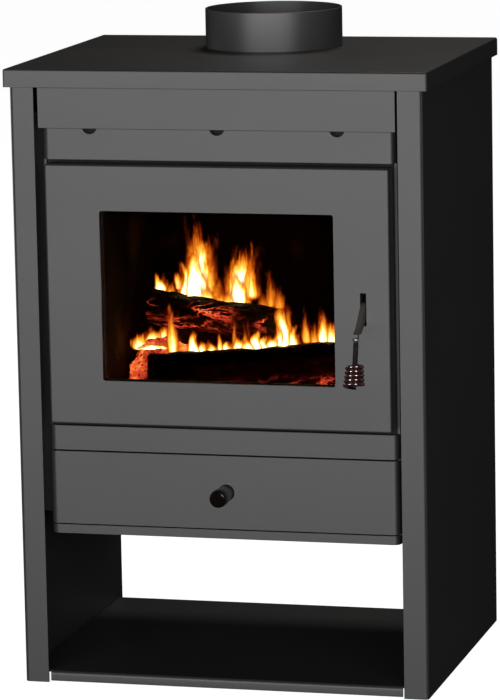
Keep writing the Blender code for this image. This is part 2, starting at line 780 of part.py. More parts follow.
def door_glass():
    """The ceramic glass pane."""
    front = DOOR_FRONT + DOOR_SHEET + GAP + TAPE_THICK + GAP
    return glass_box(GLASS_LAP, front, front + GLASS_THICK, "door_glass", CLEAR_GLASS)


def glass_clip(name, side, high):
    """A small clamp that presses the glass forward at one corner."""
    front = DOOR_FRONT + DOOR_SHEET + GAP + TAPE_THICK + GAP + GLASS_THICK + GAP
    edge = DOOR_X + side * (WINDOW_HALF + GLASS_LAP)
    x = sorted((edge - side * 9, edge + side * 2.0))
    z = WINDOW_HIGH - 30 if high else WINDOW_LOW + 10
    return box(name, x, (front, front + 2), (z, z + 20), BRIGHT_STEEL)


def door_rope_seal():
    """The rope seal round the door's back."""
    back = DOOR_BACK
    front = back + GAP
    reach = FRAME_FRONT - GAP - front
    outer = rounded_outline(
        (ROPE_LEFT - ROPE_HALF, ROPE_RIGHT + ROPE_HALF), (ROPE_LOW - ROPE_HALF, ROPE_HIGH + ROPE_HALF), 9.0
    )
    inner = rounded_outline(
        (ROPE_LEFT + ROPE_HALF, ROPE_RIGHT - ROPE_HALF), (ROPE_LOW + ROPE_HALF, ROPE_HIGH - ROPE_HALF), 4.0
    )
    ring = prism("door_rope_seal", outer, "Y", front, front + reach, ROPE_FIBRE)
    return cut(ring, prism("hole", inner, "Y", front - 5, front + 20, None))


def handle_bracket():
    """The two-eared bracket inside the door that carries the handle's pivot."""
    depth, level = HANDLE_PIVOT
    ear = HANDLE_THICK / 2 + 1.0
    front = DOOR_FRONT + DOOR_SHEET + GAP
    base = box("handle_bracket", (HANDLE_X - ear - 3, HANDLE_X + ear + 3), (front, depth + 4.2), (level - 24, level + 22), INNER_STEEL)
    channel = box("channel", (HANDLE_X - ear, HANDLE_X + ear), (front - 5, depth + 20), (level - 18, level + 30), None)
    radius = HANDLE_PIN_R + 0.3
    bore = lathe("bore", world(HANDLE_X - 20, depth, level), (1, 0, 0), ((0, radius), (40, radius)), None, 24)
    return cut(base, channel, bore)


def handle_pin():
    """The handle's pivot pin."""
    depth, level = HANDLE_PIVOT
    length = 2 * (HANDLE_THICK / 2 + 4.6)
    start = world(HANDLE_X - length / 2, depth, level)
    return lathe("handle_pivot_pin", start, (1, 0, 0), ((0, HANDLE_PIN_R), (length, HANDLE_PIN_R)), BRIGHT_STEEL, 24)


# ---------------------------------------------------------------- handle


def rod_direction():
    """Which way the handle's rod points: down and a little forward."""
    tilt = math.radians(ROD_TILT)
    return Vector((0, -math.sin(tilt), -math.cos(tilt)))


def handle_lever():
    """The flat lever: curved arm outside, pivot boss inside the door and hook behind the frame."""
    depth, level = HANDLE_PIVOT
    end = RING_AT
    outline = [
        (depth + 2, level + 7.0),
        (depth - 6, level + 6.8),
        (DOOR_FRONT - 1, level + 5.2),
        (DOOR_FRONT - 9, level - 0.6),
        (DOOR_FRONT - 18, level - 8.2),
        (DOOR_FRONT - 26, level - 15.0),
        (end[0] - 3.2, end[1] + 4.6),
        (end[0] - 3.6, end[1] + 0.9),
        (end[0] + 3.6, end[1] - 0.9),
        (end[0] + 4.6, end[1] + 4.0),
        (DOOR_FRONT - 21, level - 22.0),
        (DOOR_FRONT - 12, level - 18.0),
        (DOOR_FRONT - 4, level - 13.0),
        (DOOR_FRONT + 3, level - 8.5),
        (depth - 3, level - 7.0),
        (depth + 5, level - 6.0),
        (depth + 12, level - 3.0),
        (HOOK_FRONT + HOOK_THICK, level + 2.0),
        (HOOK_FRONT + HOOK_THICK, level + 17.0),
        (HOOK_FRONT, level + 17.0),
        (HOOK_FRONT, level + 8.2),
        (depth + 9, level + 5.0),
    ]
    half = HANDLE_THICK / 2
    lever = prism("handle_lever", outline[::-1], "X", HANDLE_X - half, HANDLE_X + half, DARK_STEEL)
    radius = HANDLE_PIN_R + 0.3
    bore = lathe("bore", world(HANDLE_X - 20, depth, level), (1, 0, 0), ((0, radius), (40, radius)), None, 24)
    return cut(lever, bore)


def handle_ring():
    """The bright lock nut between the lever and the rod."""
    start = world(HANDLE_X, *RING_AT) + rod_direction() * 0.4 * MM
    profile = ((0, 3.3), (0.5, 3.8), (1.8, 3.8), (2.3, 3.3))
    return lathe("handle_lock_nut", start, rod_direction(), profile, BRIGHT_STEEL, 24)


def handle_rod():
    """The threaded rod, with a shoulder every pitch, that carries the grip."""
    start = world(HANDLE_X, *RING_AT) + rod_direction() * 3.1 * MM
    length = GRIP_START + GRIP_LENGTH - 1.5
    profile = [(0, ROD_R - 0.5)]
    pitch = 2.4
    for i in range(int(length / pitch)):
        profile.append((pitch * (i + 0.35), ROD_R))
        profile.append((pitch * (i + 0.9), ROD_R - 0.45))
    profile.append((length, ROD_R - 0.6))
    return lathe("handle_rod", start, rod_direction(), profile, DARK_STEEL, 16)


def handle_grip():
    """The open coil grip that keeps the hand off hot metal, closed to the rod at both ends."""
    along = rod_direction()
    across = Vector((1, 0, 0))
    up = along.cross(across)
    start = world(HANDLE_X, *RING_AT) + along * (3.1 + GRIP_START) * MM
    steps = int(GRIP_TURNS * 20)
    path = []
    for i in range(steps + 1):
        share = i / steps
        angle = 2 * math.pi * GRIP_TURNS * share
        radius = GRIP_TOP_R + (GRIP_END_R - GRIP_TOP_R) * share - GRIP_WIRE_R
        arm = across * math.cos(angle) + up * math.sin(angle)
        travel = GRIP_WIRE_R + (GRIP_LENGTH - 2 * GRIP_WIRE_R) * share
        path.append(start + (along * travel + arm * radius) * MM)
    bm = bmesh.new()
    rings = []
    for i, point in enumerate(path):
        ahead = (path[min(i + 1, steps)] - path[max(i - 1, 0)]).normalized()
        middle = start + along * (point - start).dot(along)
        out = (point - middle).normalized()
        side = ahead.cross(out).normalized()
        out = side.cross(ahead)
        ring = []
        for j in range(8):
            angle = 2 * math.pi * j / 8
            ring.append(point + (out * math.cos(angle) + side * math.sin(angle)) * GRIP_WIRE_R * MM)
        rings.append(ring)
    loft(bm, rings)
    return finish(bm, "handle_spring_grip", DARK_STEEL)


# ---------------------------------------------------------------- ash drawer


def drawer_front():
    """The drawer's folded front, flush with the body and bent back at both sides."""
    edge = BODY_HALF - DRAWER_SHEET / 2
    face = DRAWER_FRONT + DRAWER_SHEET / 2
    behind_bend = BODY_FRONT + BODY_BEND + BODY_SHEET / 2
    path = [(-edge, behind_bend - 0.4), (-edge, face), (edge, face), (edge, behind_bend - 0.4)]
    front = prism("drawer_front", fold(path, DRAWER_SHEET, BODY_BEND), "Z", DRAWER_LOW, DRAWER_HIGH, STEEL_PAINT)
    start = world(KNOB_X, DRAWER_FRONT - 5, KNOB_Z)
    return cut(front, lathe("bore", start, (0, 1, 0), ((0, 2.4), (20, 2.4)), None, 16))


def ash_drawer_tray():
    """The open ash tray behind the drawer's front."""
    front = DRAWER_FRONT + DRAWER_SHEET + GAP
    low = DRAWER_LOW + 1.5
    tray = box("ash_drawer_tray", (-TRAY_HALF, TRAY_HALF), (front, TRAY_BACK), (low, TRAY_TOP), INNER_STEEL)
    inner = TRAY_HALF - TRAY_SHEET
    hollow = box(
        "hollow",
        (-inner, inner),
        (front + TRAY_SHEET, TRAY_BACK - TRAY_SHEET),
        (low + TRAY_SHEET, TRAY_TOP + 20),
        None,
    )
    start = world(KNOB_X, DRAWER_FRONT - 5, KNOB_Z)
    return cut(tray, hollow, lathe("bore", start, (0, 1, 0), ((0, 2.4), (20, 2.4)), None, 16))


def drawer_knob():
    """The moulded knob: a waisted stem and a domed end."""
    start = world(KNOB_X, DRAWER_FRONT - GAP, KNOB_Z)
    reach = KNOB_REACH
    profile = (
        (0, 6.2),
        (3, 6.4),
        (9, 6.6),
        (15, 7.2),
        (21, KNOB_R - 0.9),
        (25, KNOB_R),
        (reach - 5, KNOB_R),
        (reach - 2, KNOB_R - 0.8),
        (reach - 0.6, KNOB_R - 2.6),
        (reach, KNOB_R - 5.5),
    )
    knob = lathe("drawer_knob", start, (0, -1, 0), profile, MOULDED, 32)
    bore = lathe("bore", world(KNOB_X, DRAWER_FRONT + 5, KNOB_Z), (0, -1, 0), ((0, 2.4), (17, 2.4)), None, 16)
    return cut(knob, bore)


def knob_screw():
    """The screw that holds the knob from inside the tray."""
    start = world(KNOB_X, DRAWER_FRONT + DRAWER_SHEET + GAP + TRAY_SHEET + 3.4, KNOB_Z)
    profile = ((0, 3.2), (0.6, 3.9), (3.0, 3.9), (3.0, 2.0), (18, 2.0))
    return lathe("knob_screw", start, (0, -1, 0), profile, BRIGHT_STEEL, 16)


# ---------------------------------------------------------------- assembly


def casing():
    """The pieces seen from outside that don't move."""
    side_panel("side_panel_left", -1)
    side_panel("side_panel_right", 1)
    top_plate()
    fascia_panel()
    log_shelf()
    back_panel()
    flue_collar()
    side_spacer("side_spacer_left", -1)
    side_spacer("side_spacer_right", 1)


def firebox():
    """The welded body, its lining and the fire's own pieces."""
    firebox_front()
    door_frame()
    firebox_wall("firebox_wall_left", -1)
    firebox_wall("firebox_wall_right", 1)
    firebox_back()
    firebox_top()
    firebox_floor()
    ash_chamber_floor()
    drawer_guide("drawer_guide_left", -1)
    drawer_guide("drawer_guide_right", 1)
    drawer_stop()
    baffle_plate()
    side_brick("firebrick_left", -1)
    side_brick("firebrick_right", 1)
    back_brick()
    grate()
    log_retainer()
    airwash_deflector()
    level = FLOOR_TOP + GAP + GRATE_THICK
    split_log("firewood_back", (-116, 236, level + 31), (108, 252, level + 30), 29, 0.3)
    split_log("firewood_front", (-98, 87, level + 27), (112, 190, level + 30), 25, 1.1)
    split_log("firewood_top", (-130, 207, level + 82), (34, 186, level + 64), 21, 0.7)


def hinges_and_keeper():
    """What the door turns on, fixed to the body."""
    for word, level in hinge_levels():
        hinge_lug("hinge_lug_" + word, level)
        hinge_pin("hinge_pin_" + word, level)
    depth = FRAME_BACK + GAP
    span = (HANDLE_X - 8, HANDLE_X + 8)
    box("latch_keeper", span, (depth, depth + KEEPER_THICK), (HANDLE_LEVEL + 11, HANDLE_LEVEL + 31), INNER_STEEL)


def door():
    """The door and everything that swings with it, all hung on the hinge axis."""
    made = [door_shell(), door_inner_frame(), glass_gasket(), door_glass(), door_rope_seal()]
    for word, side in (("left", -1), ("right", 1)):
        made.append(glass_clip("glass_clip_upper_" + word, side, True))
        made.append(glass_clip("glass_clip_lower_" + word, side, False))
    for word, level in hinge_levels():
        made.append(door_hinge_block("door_hinge_block_" + word, level))
    made.append(handle_bracket())
    made.append(handle_pin())
    for obj in made:
        hang_on(obj, world(HINGE_X, HINGE_DEPTH, DOOR_LOW))


def handle():
    """The lever and grip, hung on the handle's pivot."""
    for obj in (handle_lever(), handle_ring(), handle_rod(), handle_grip()):
        hang_on(obj, world(HANDLE_X, *HANDLE_PIVOT))


def drawer():
    """The ash drawer and its knob, hung on the line they slide along."""
    for obj in (drawer_front(), ash_drawer_tray(), drawer_knob(), knob_screw()):
        hang_on(obj, world(0, DRAWER_FRONT, KNOB_Z))


def main():
    """Builds the whole stove."""
    clear_scene()
    casing()
    firebox()
    hinges_and_keeper()
    door()
    handle()
    drawer()


main()
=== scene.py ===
"""Looks for a wood burning stove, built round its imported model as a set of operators."""

import json
import math

import bmesh
import bpy
from mathutils import Matrix, Vector, noise

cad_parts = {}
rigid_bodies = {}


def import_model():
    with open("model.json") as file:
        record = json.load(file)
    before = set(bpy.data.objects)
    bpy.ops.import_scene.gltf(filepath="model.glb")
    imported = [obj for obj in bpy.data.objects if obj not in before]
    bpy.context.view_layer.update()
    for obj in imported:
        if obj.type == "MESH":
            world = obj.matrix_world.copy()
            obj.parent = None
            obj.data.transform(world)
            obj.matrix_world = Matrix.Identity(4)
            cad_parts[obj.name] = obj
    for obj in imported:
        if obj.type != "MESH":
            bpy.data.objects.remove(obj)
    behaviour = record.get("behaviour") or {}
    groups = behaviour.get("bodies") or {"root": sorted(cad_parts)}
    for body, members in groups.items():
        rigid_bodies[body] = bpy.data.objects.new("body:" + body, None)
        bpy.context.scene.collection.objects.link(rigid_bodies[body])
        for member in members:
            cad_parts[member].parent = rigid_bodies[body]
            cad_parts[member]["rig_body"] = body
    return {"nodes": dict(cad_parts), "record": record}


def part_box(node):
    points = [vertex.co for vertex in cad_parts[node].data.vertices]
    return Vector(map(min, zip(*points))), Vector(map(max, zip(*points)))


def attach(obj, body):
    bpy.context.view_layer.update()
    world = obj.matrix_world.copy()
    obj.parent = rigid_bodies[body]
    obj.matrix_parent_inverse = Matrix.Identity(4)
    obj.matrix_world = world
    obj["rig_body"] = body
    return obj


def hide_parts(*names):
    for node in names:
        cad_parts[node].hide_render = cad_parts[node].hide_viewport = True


bl_info = {
    "name": "Wood Burning Stove",
    "version": (1, 0, 0),
    "blender": (4, 5, 0),
    "location": "3D View > Sidebar > Stove",
    "description": "Builds a slim sheet-steel wood burning stove with its fire, door, drawer and handle",
    "category": "Object",
}

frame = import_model()

MM = 0.001


# ---- shader helpers

EVEN = (1.0, 1.0, 1.0)


class Value:
    """A shader socket that adds a Math node for each sum done on it."""

    def __init__(self, finish, socket):
        self.finish = finish
        self.socket = socket

    def maths(self, operation, *others):
        return self.finish.add("ShaderNodeMath", {"operation": operation}, [self, *others])

    def __add__(self, other):
        return self.maths("ADD", other)

    __radd__ = __add__

    def __sub__(self, other):
        return self.maths("SUBTRACT", other)

    def __rsub__(self, other):
        return self.finish.add("ShaderNodeMath", {"operation": "SUBTRACT"}, [other, self])

    def __mul__(self, other):
        return self.maths("MULTIPLY", other)

    __rmul__ = __mul__

    def __truediv__(self, other):
        return self.maths("DIVIDE", other)

    def __pow__(self, other):
        return self.maths("POWER", other)


class Finish:
    """A procedural material under construction."""

    def __init__(self, name):
        self.material = bpy.data.materials.new(name)
        self.material.use_nodes = True
        self.tree = self.material.node_tree
        self.tree.nodes.clear()
        self.here = self.add("ShaderNodeTexCoord", {}, {}, "Object")

    def add(self, kind, settings, sockets, out=0):
        """Adds a node: its settings first, then its sockets, and gives back one of its outputs."""
        node = self.tree.nodes.new(kind)
        for key, setting in settings.items():
            if key == "stops":
                self.set_stops(node.color_ramp.elements, setting)
            else:
                setattr(node, key, setting)
        pairs = sockets.items() if isinstance(sockets, dict) else enumerate(sockets)
        for key, given in pairs:
            if isinstance(given, Value):
                self.tree.links.new(given.socket, node.inputs[key])
            else:
                node.inputs[key].default_value = given
        return Value(self, node.outputs[out]) if node.outputs else None

    def set_stops(self, elements, stops):
        while len(elements) < len(stops):
            elements.new(0.5)
        for element, (position, colour) in zip(elements, stops):
            element.position = position
            element.color = (*colour, 1.0)

    def place(self, stretch, turn=(0.0, 0.0, 0.0)):
        """Object coordinates, stretched and turned to suit a pattern."""
        if stretch == EVEN and not any(turn):
            return self.here
        sockets = {"Vector": self.here, "Scale": stretch, "Rotation": turn}
        return self.add("ShaderNodeMapping", {}, sockets)

    def axis(self, letter, place=None):
        return self.add("ShaderNodeSeparateXYZ", {}, [place or self.here], letter)

    def noise(self, scale, detail=3.0, rough=0.5, distort=0.0, stretch=EVEN):
        sockets = {"Vector": self.place(stretch), "Scale": scale, "Detail": detail}
        sockets.update({"Roughness": rough, "Distortion": distort})
        return self.add("ShaderNodeTexNoise", {}, sockets, "Fac")

    def cells(self, scale, feature="F1", out="Distance", stretch=EVEN):
        sockets = {"Vector": self.place(stretch), "Scale": scale}
        return self.add("ShaderNodeTexVoronoi", {"feature": feature}, sockets, out)

    def step(self, value, low, high):
        """0 below low and 1 above high, easing between them."""
        settings = {"interpolation_type": "SMOOTHSTEP"}
        sockets = {"Value": value, "From Min": low, "From Max": high}
        return self.add("ShaderNodeMapRange", settings, sockets)

    def mix(self, mask, first, second):
        """The first colour where the mask is 0, the second where it is 1."""
        node = self.tree.nodes.new("ShaderNodeMix")
        node.data_type = "RGBA"
        for key, given in ((0, mask), (6, first), (7, second)):
            if isinstance(given, Value):
                self.tree.links.new(given.socket, node.inputs[key])
            else:
                node.inputs[key].default_value = (*given, 1.0) if key else given
        return Value(self, node.outputs[2])

    def ramp(self, value, *stops):
        return self.add("ShaderNodeValToRGB", {"stops": stops}, [value], "Color")

    def bump(self, height, distance, strength):
        sockets = {"Height": height, "Distance": distance, "Strength": strength}
        return self.add("ShaderNodeBump", {}, sockets)

    def surface(self, **sockets):
        """Ends with a Principled shader, whose sockets are named here with _ for a space."""
        named = {key.replace("_", " "): value for key, value in sockets.items()}
        if "Base Color" in named and not isinstance(named["Base Color"], Value):
            named["Base Color"] = (*named["Base Color"], 1.0)
        shader = self.add("ShaderNodeBsdfPrincipled", {}, named)
        self.add("ShaderNodeOutputMaterial", {}, {"Surface": shader})
        return self.material


def shade(colour, by):
    """The same colour, lighter or darker."""
    return tuple(min(1.0, channel * by) for channel in colour[:3])


# ---- finishes


def stove_paint(finish, settings, tint=1.0, gloss=0.8):
    """Satin heat-proof paint with a fine grain and faint cloudiness."""
    cloud = finish.noise(7.0, 4.0, 0.6)
    grain = finish.noise(900.0, 2.0, 0.6)
    specks = finish.step(finish.cells(520.0), 0.16, 0.05)
    paint = shade(settings.paint, tint)
    colour = finish.mix(cloud, shade(paint, 0.93), shade(paint, 1.07))
    colour = finish.mix(finish.step(grain, 0.35, 0.7) * 0.22, colour, shade(paint, 1.55))
    colour = finish.mix(specks * 0.3, colour, shade(paint, 0.5))
    roughness = 0.33 + cloud * 0.08 + grain * 0.06
    normal = finish.bump(grain * 0.6 + finish.noise(260.0, 2.0) * 0.4, 0.00010, 0.4)
    return finish.surface(Base_Color=colour, Roughness=roughness, Normal=normal, Specular_IOR_Level=gloss)


def collar_paint_painted_highlight(finish, settings):
    """The casing paint made lighter and glossier for the collar: the extra lightness is a painted
    highlight standing in for the light the collar catches.
    """
    # tint 2.3 lightens the same paint: a painted highlight, not a different coat
    return stove_paint(finish, settings, 2.3, 1.0)


def sooted_steel(finish, settings):
    """Plate that has been through many fires: soot over blued steel with a little rust bloom."""
    soot = finish.noise(14.0, 5.0, 0.62)
    bloom = finish.step(finish.noise(46.0, 4.0, 0.65), 0.58, 0.74)
    colour = finish.mix(soot, (0.016, 0.015, 0.015), (0.046, 0.043, 0.042))
    colour = finish.mix(bloom * 0.4, colour, (0.075, 0.036, 0.021))
    roughness = 0.62 + soot * 0.3
    normal = finish.bump(finish.noise(420.0, 3.0), 0.0002, 0.6)
    return finish.surface(Base_Color=colour, Roughness=roughness, Normal=normal, Specular_IOR_Level=0.3)


def cast_iron(finish, settings):
    """Sand-cast iron, dusted with ash."""
    sand = finish.noise(620.0, 3.0, 0.7)
    ash = finish.step(finish.noise(38.0, 4.0), 0.5, 0.68)
    colour = finish.mix(sand, (0.018, 0.017, 0.016), (0.045, 0.042, 0.04))
    colour = finish.mix(ash * 0.55, colour, (0.2, 0.185, 0.17))
    normal = finish.bump(sand, 0.0005, 0.8)
    return finish.surface(Base_Color=colour, Roughness=0.7 + sand * 0.2, Normal=normal, Metallic=0.3)


def vermiculite(finish, settings):
    """Vermiculite lining, flecked and pitted, blackened with soot."""
    fleck = finish.cells(330.0, out="Color")
    flake = finish.cells(330.0)
    soot = finish.noise(9.0, 4.0, 0.6)
    tone = finish.add("ShaderNodeRGBToBW", {}, [fleck])
    clean = finish.mix(tone, (0.055, 0.041, 0.031), (0.11, 0.085, 0.064))
    colour = finish.mix(finish.step(soot, 0.28, 0.5), clean, (0.008, 0.007, 0.006))
    pits = finish.noise(150.0, 4.0, 0.7)
    normal = finish.bump(pits * 0.7 + flake * 0.5, 0.0012, 0.8)
    roughness = 0.86 + pits * 0.12
    return finish.surface(Base_Color=colour, Roughness=roughness, Normal=normal, Specular_IOR_Level=0.2)


def clear_glass(finish, settings):
    """Clear heat-proof glass, with a faint brown bloom of smoke towards its edges."""
    low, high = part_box("door_glass")
    middle = (low + high) / 2
    across = (finish.axis("X") - middle.x) / ((high.x - low.x) / 2)
    up = (finish.axis("Z") - middle.z) / ((high.z - low.z) / 2)
    edge = across.maths("ABSOLUTE").maths("MAXIMUM", up.maths("ABSOLUTE"))
    smear = finish.noise(24.0, 4.0, 0.6)
    bloom = finish.step(edge + smear * 0.14, 0.86, 1.08)
    colour = finish.mix(bloom * 0.7, (0.96, 0.97, 0.97), (0.52, 0.42, 0.33))
    roughness = 0.015 + bloom * 0.05 + finish.step(smear, 0.55, 0.8) * 0.015
    return finish.surface(Base_Color=colour, Roughness=roughness, Transmission_Weight=1.0, IOR=1.47)


def braided_rope(finish, settings):
    """Braided glass-fibre rope, greyed by soot."""
    braid = []
    for lean in (0.8, -0.8):
        turned = finish.place(EVEN, (0.0, lean, 0.0))
        sockets = {"Vector": turned, "Scale": 150.0, "Distortion": 0.5}
        braid.append(finish.add("ShaderNodeTexWave", {"bands_direction": "X"}, sockets, "Fac"))
    weave = braid[0].maths("MAXIMUM", braid[1])
    hairs = finish.noise(900.0, 3.0)
    soot = finish.noise(22.0, 4.0, 0.65)
    colour = finish.mix(weave, (0.12, 0.112, 0.10), (0.34, 0.325, 0.30))
    colour = finish.mix(finish.step(soot, 0.45, 0.66) * 0.8, colour, (0.045, 0.04, 0.036))
    normal = finish.bump(weave + hairs * 0.35, 0.0009, 0.9)
    return finish.surface(Base_Color=colour, Roughness=0.9 + hairs * 0.1, Normal=normal, Sheen_Weight=0.25)


def bright_steel(finish, settings):
    """Turned steel: fine machining lines and a few darker smears."""
    lines = finish.noise(160.0, 2.0, stretch=(1.0, 30.0, 30.0))
    smear = finish.noise(120.0, 3.0)
    colour = finish.mix(smear, (0.42, 0.41, 0.40), (0.62, 0.61, 0.60))
    normal = finish.bump(lines, 0.00006, 0.6)
    return finish.surface(Base_Color=colour, Metallic=1.0, Roughness=0.22 + lines * 0.16, Normal=normal)


def oiled_steel(finish, settings):
    """Dark hot-rolled bar, oiled, with mill scale wearing off in patches."""
    scale = finish.noise(150.0, 5.0, 0.65)
    worn = finish.step(scale, 0.56, 0.7)
    colour = finish.mix(worn, (0.030, 0.027, 0.026), (0.085, 0.078, 0.073))
    fine = finish.noise(900.0, 2.0)
    normal = finish.bump(scale + fine * 0.4, 0.00015, 0.6)
    return finish.surface(Base_Color=colour, Metallic=0.55, Roughness=0.36 + scale * 0.2, Normal=normal)


def handled_steel(finish, settings):
    """Flat bar rubbed smooth by use, a warm mid grey, darker in its grain."""
    cloud = finish.noise(120.0, 4.0, 0.6)
    grain = finish.noise(500.0, 3.0, stretch=(1.0, 1.0, 0.15))
    colour = finish.mix(cloud, (0.085, 0.076, 0.070), (0.135, 0.122, 0.112))
    colour = finish.mix(finish.step(grain, 0.5, 0.75) * 0.5, colour, (0.05, 0.045, 0.042))
    normal = finish.bump(grain, 0.0001, 0.5)
    return finish.surface(Base_Color=colour, Metallic=0.25, Roughness=0.42 + grain * 0.2, Normal=normal)


def spring_enamel(finish, settings):
    """Dark red-brown lacquer on drawn spring wire."""
    cloud = finish.noise(210.0, 3.0, 0.6)
    drawn = finish.noise(24.0, 2.0, stretch=(25.0, 25.0, 90.0))
    colour = finish.mix(cloud, shade(settings.grip_colour, 0.7), shade(settings.grip_colour, 1.4))
    return finish.surface(
        Base_Color=colour, Roughness=0.18 + drawn * 0.08, Coat_Weight=0.7, Coat_Roughness=0.1,
        Normal=finish.bump(drawn, 0.00008, 0.5),
    )


def moulded_plastic(finish, settings):
    """Moulded thermoset: near black, glossy, with faint flow marks."""
    flow = finish.noise(130.0, 4.0, 0.55, 0.8)
    dust = finish.noise(1300.0, 2.0)
    colour = finish.mix(flow, shade(settings.knob_colour, 0.7), shade(settings.knob_colour, 1.5))
    return finish.surface(
        Base_Color=colour, Roughness=0.17 + flow * 0.08 + dust * 0.05,
        Normal=finish.bump(dust * 0.5 + flow, 0.00005, 0.5), Specular_IOR_Level=0.4,
    )


def charred_wood(finish, settings):
    """A log well alight: black blocked char with pale ash, and red lines where it still burns."""
    block = finish.cells(95.0, "DISTANCE_TO_EDGE", stretch=(1.0, 1.0, 0.5))
    cloud = finish.noise(26.0, 4.0, 0.6)
    fibre = finish.noise(300.0, 3.0, 0.6, stretch=(0.16, 1.0, 1.0))
    ash = finish.step(finish.noise(60.0, 5.0, 0.7), 0.56, 0.72)
    char = finish.mix(cloud, (0.008, 0.006, 0.005), (0.034, 0.020, 0.014))
    colour = finish.mix(ash * 0.3, char, (0.14, 0.125, 0.115))
    height = finish.axis("Z")
    burning = finish.step(height, 0.350, 0.360).maths("MAXIMUM", finish.step(height, 0.322, 0.313))
    patch = finish.step(finish.noise(19.0, 3.0, 0.6), 0.47, 0.66)
    seam = (finish.noise(62.0, 5.0, 0.62, 0.6, (0.3, 1.0, 1.0)) - 0.5).maths("ABSOLUTE")
    glow = finish.ramp(
        finish.step(seam, 0.05, 0.0) * patch * burning * (0.3 + cloud), (0.0, (0.0, 0.0, 0.0)),
        (0.25, (0.05, 0.003, 0.001)), (0.6, (0.34, 0.028, 0.010)), (1.0, (0.9, 0.20, 0.05)),
    )
    relief = finish.step(block, 0.0, 0.2) * 0.8 + fibre * 0.5 + cloud * 0.3
    return finish.surface(
        Base_Color=colour, Roughness=0.78 + cloud * 0.2, Normal=finish.bump(relief, 0.0016, 0.9),
        Emission_Color=glow, Emission_Strength=settings.ember_strength, Specular_IOR_Level=0.25,
    )


def live_embers(finish, settings):
    """Glowing coals, salmon red where they are hot, with dark flecks of char."""
    heat = finish.noise(30.0, 3.0, 0.6)
    skin = finish.noise(210.0, 4.0, 0.7)
    fleck = finish.step(finish.cells(170.0), 0.30, 0.16)
    value = heat * 0.8 + skin * 0.35 - fleck * 0.16
    glow = finish.ramp(
        value, (0.36, (0.004, 0.0, 0.0)), (0.50, (0.11, 0.007, 0.002)), (0.62, (0.30, 0.032, 0.010)),
        (0.78, (0.75, 0.20, 0.04)),
    )
    colour = finish.mix(finish.step(skin, 0.45, 0.65), (0.014, 0.011, 0.01), (0.16, 0.14, 0.125))
    return finish.surface(
        Base_Color=colour, Roughness=0.85 + skin * 0.12, Normal=finish.bump(skin, 0.0012, 0.9),
        Emission_Color=glow, Emission_Strength=settings.ember_strength,
    )


def ash_bed(finish, settings):
    """Grey wood ash with warm light showing through where it is thin."""
    lump = finish.noise(80.0, 5.0, 0.7)
    warm = finish.noise(21.0, 3.0, 0.6)
    colour = finish.mix(finish.step(lump, 0.35, 0.7), (0.035, 0.031, 0.028), (0.26, 0.24, 0.22))
    glow = finish.ramp(
        warm * 0.7 + lump * 0.45, (0.57, (0.0, 0.0, 0.0)), (0.66, (0.30, 0.015, 0.0)),
        (0.78, (0.9, 0.14, 0.01)),
    )
    return finish.surface(
        Base_Color=colour, Roughness=0.9 + lump * 0.1, Normal=finish.bump(lump, 0.003, 0.9),
        Emission_Color=glow, Emission_Strength=settings.ember_strength,
    )


def flame_light(finish, settings):
    """Flame: narrow white-yellow heart, orange skirt, torn into streaks towards its tip."""
    sheet = finish.add("ShaderNodeUVMap", {"uv_map": "tongue"}, {}, "UV")
    across = finish.axis("X", sheet)
    up = finish.axis("Y", sheet)
    heat = finish.add("ShaderNodeAttribute", {"attribute_name": "warmth"}, {}, "Fac")
    drift = finish.noise(62.0, 3.0, 0.55, stretch=(1.0, 1.0, 0.42))
    streak = finish.noise(190.0, 4.0, 0.6, 0.5, stretch=(1.0, 1.0, 0.2))
    side = across * 2.0 - 1.0 + (drift - 0.5) * (0.5 + up * 2.0)
    belly = (1.0 - side * side).maths("MAXIMUM", 0.0)
    rise = (1.0 - up).maths("MAXIMUM", 0.0) ** 0.7
    body = belly * finish.step(up, 0.0, 0.12) * rise
    value = body * (0.15 + heat * heat * 1.25) - (streak - 0.3) * (0.2 + up * 0.75)
    value = value.maths("MAXIMUM", 0.0)
    glow = finish.ramp(
        value, (0.0, (0.03, 0.001, 0.0)), (0.18, (0.14, 0.013, 0.0004)), (0.38, (0.33, 0.082, 0.004)),
        (0.56, (0.62, 0.30, 0.03)), (0.80, (1.0, 0.84, 0.42)),
    )
    cover = finish.step(value, 0.01, 0.42) * 0.95
    return finish.surface(
        Base_Color=(0.0, 0.0, 0.0), Roughness=1.0, Specular_IOR_Level=0.0, Alpha=cover,
        Emission_Color=glow, Emission_Strength=settings.flame_strength,
    )


def stage_floor(finish, settings):
    """Pale studio floor with the faintest mottle."""
    cloud = finish.noise(1.5, 3.0)
    colour = finish.mix(cloud, (0.42, 0.42, 0.42), (0.46, 0.46, 0.46))
    return finish.surface(
        Base_Color=colour, Roughness=0.9 + cloud * 0.05, Emission_Color=(1.0, 1.0, 1.0, 1.0),
        Emission_Strength=settings.floor_glow, Specular_IOR_Level=0.1,
    )


FINISHES = {
    "painted_steel": stove_paint,
    "firebox_steel": sooted_steel,
    "grate_iron": cast_iron,
    "firebrick": vermiculite,
    "door_glass": clear_glass,
    "rope_seal": braided_rope,
    "handle_steel": bright_steel,
    "handle_black": oiled_steel,
    "knob_plastic": moulded_plastic,
    "firewood": charred_wood,
}


def finish_for(maker):
    """The finish made by this function, made once and then shared."""
    name = maker.__name__
    settings = bpy.context.scene.stove_finishes
    return bpy.data.materials.get(name) or maker(Finish(name), settings)


# ---- shape helpers

# the angle in degrees from which a piece's edges look sharp, for each way of making it
SHARP_THREAD = 30.0
SHARP_SHEET = 40.0
SHARP_TURNED = 50.0
SHARP_COAL = 60.0
SHARP_NEVER = 180.0
BEVEL_FROM = math.radians(32.0)


def slot_of(node):
    for entry in frame["record"]["materials"]:
        if node in entry.get("nodes", []):
            return entry["slot"]
    return frame["nodes"][node].data.materials[0].name.split(".")[0]


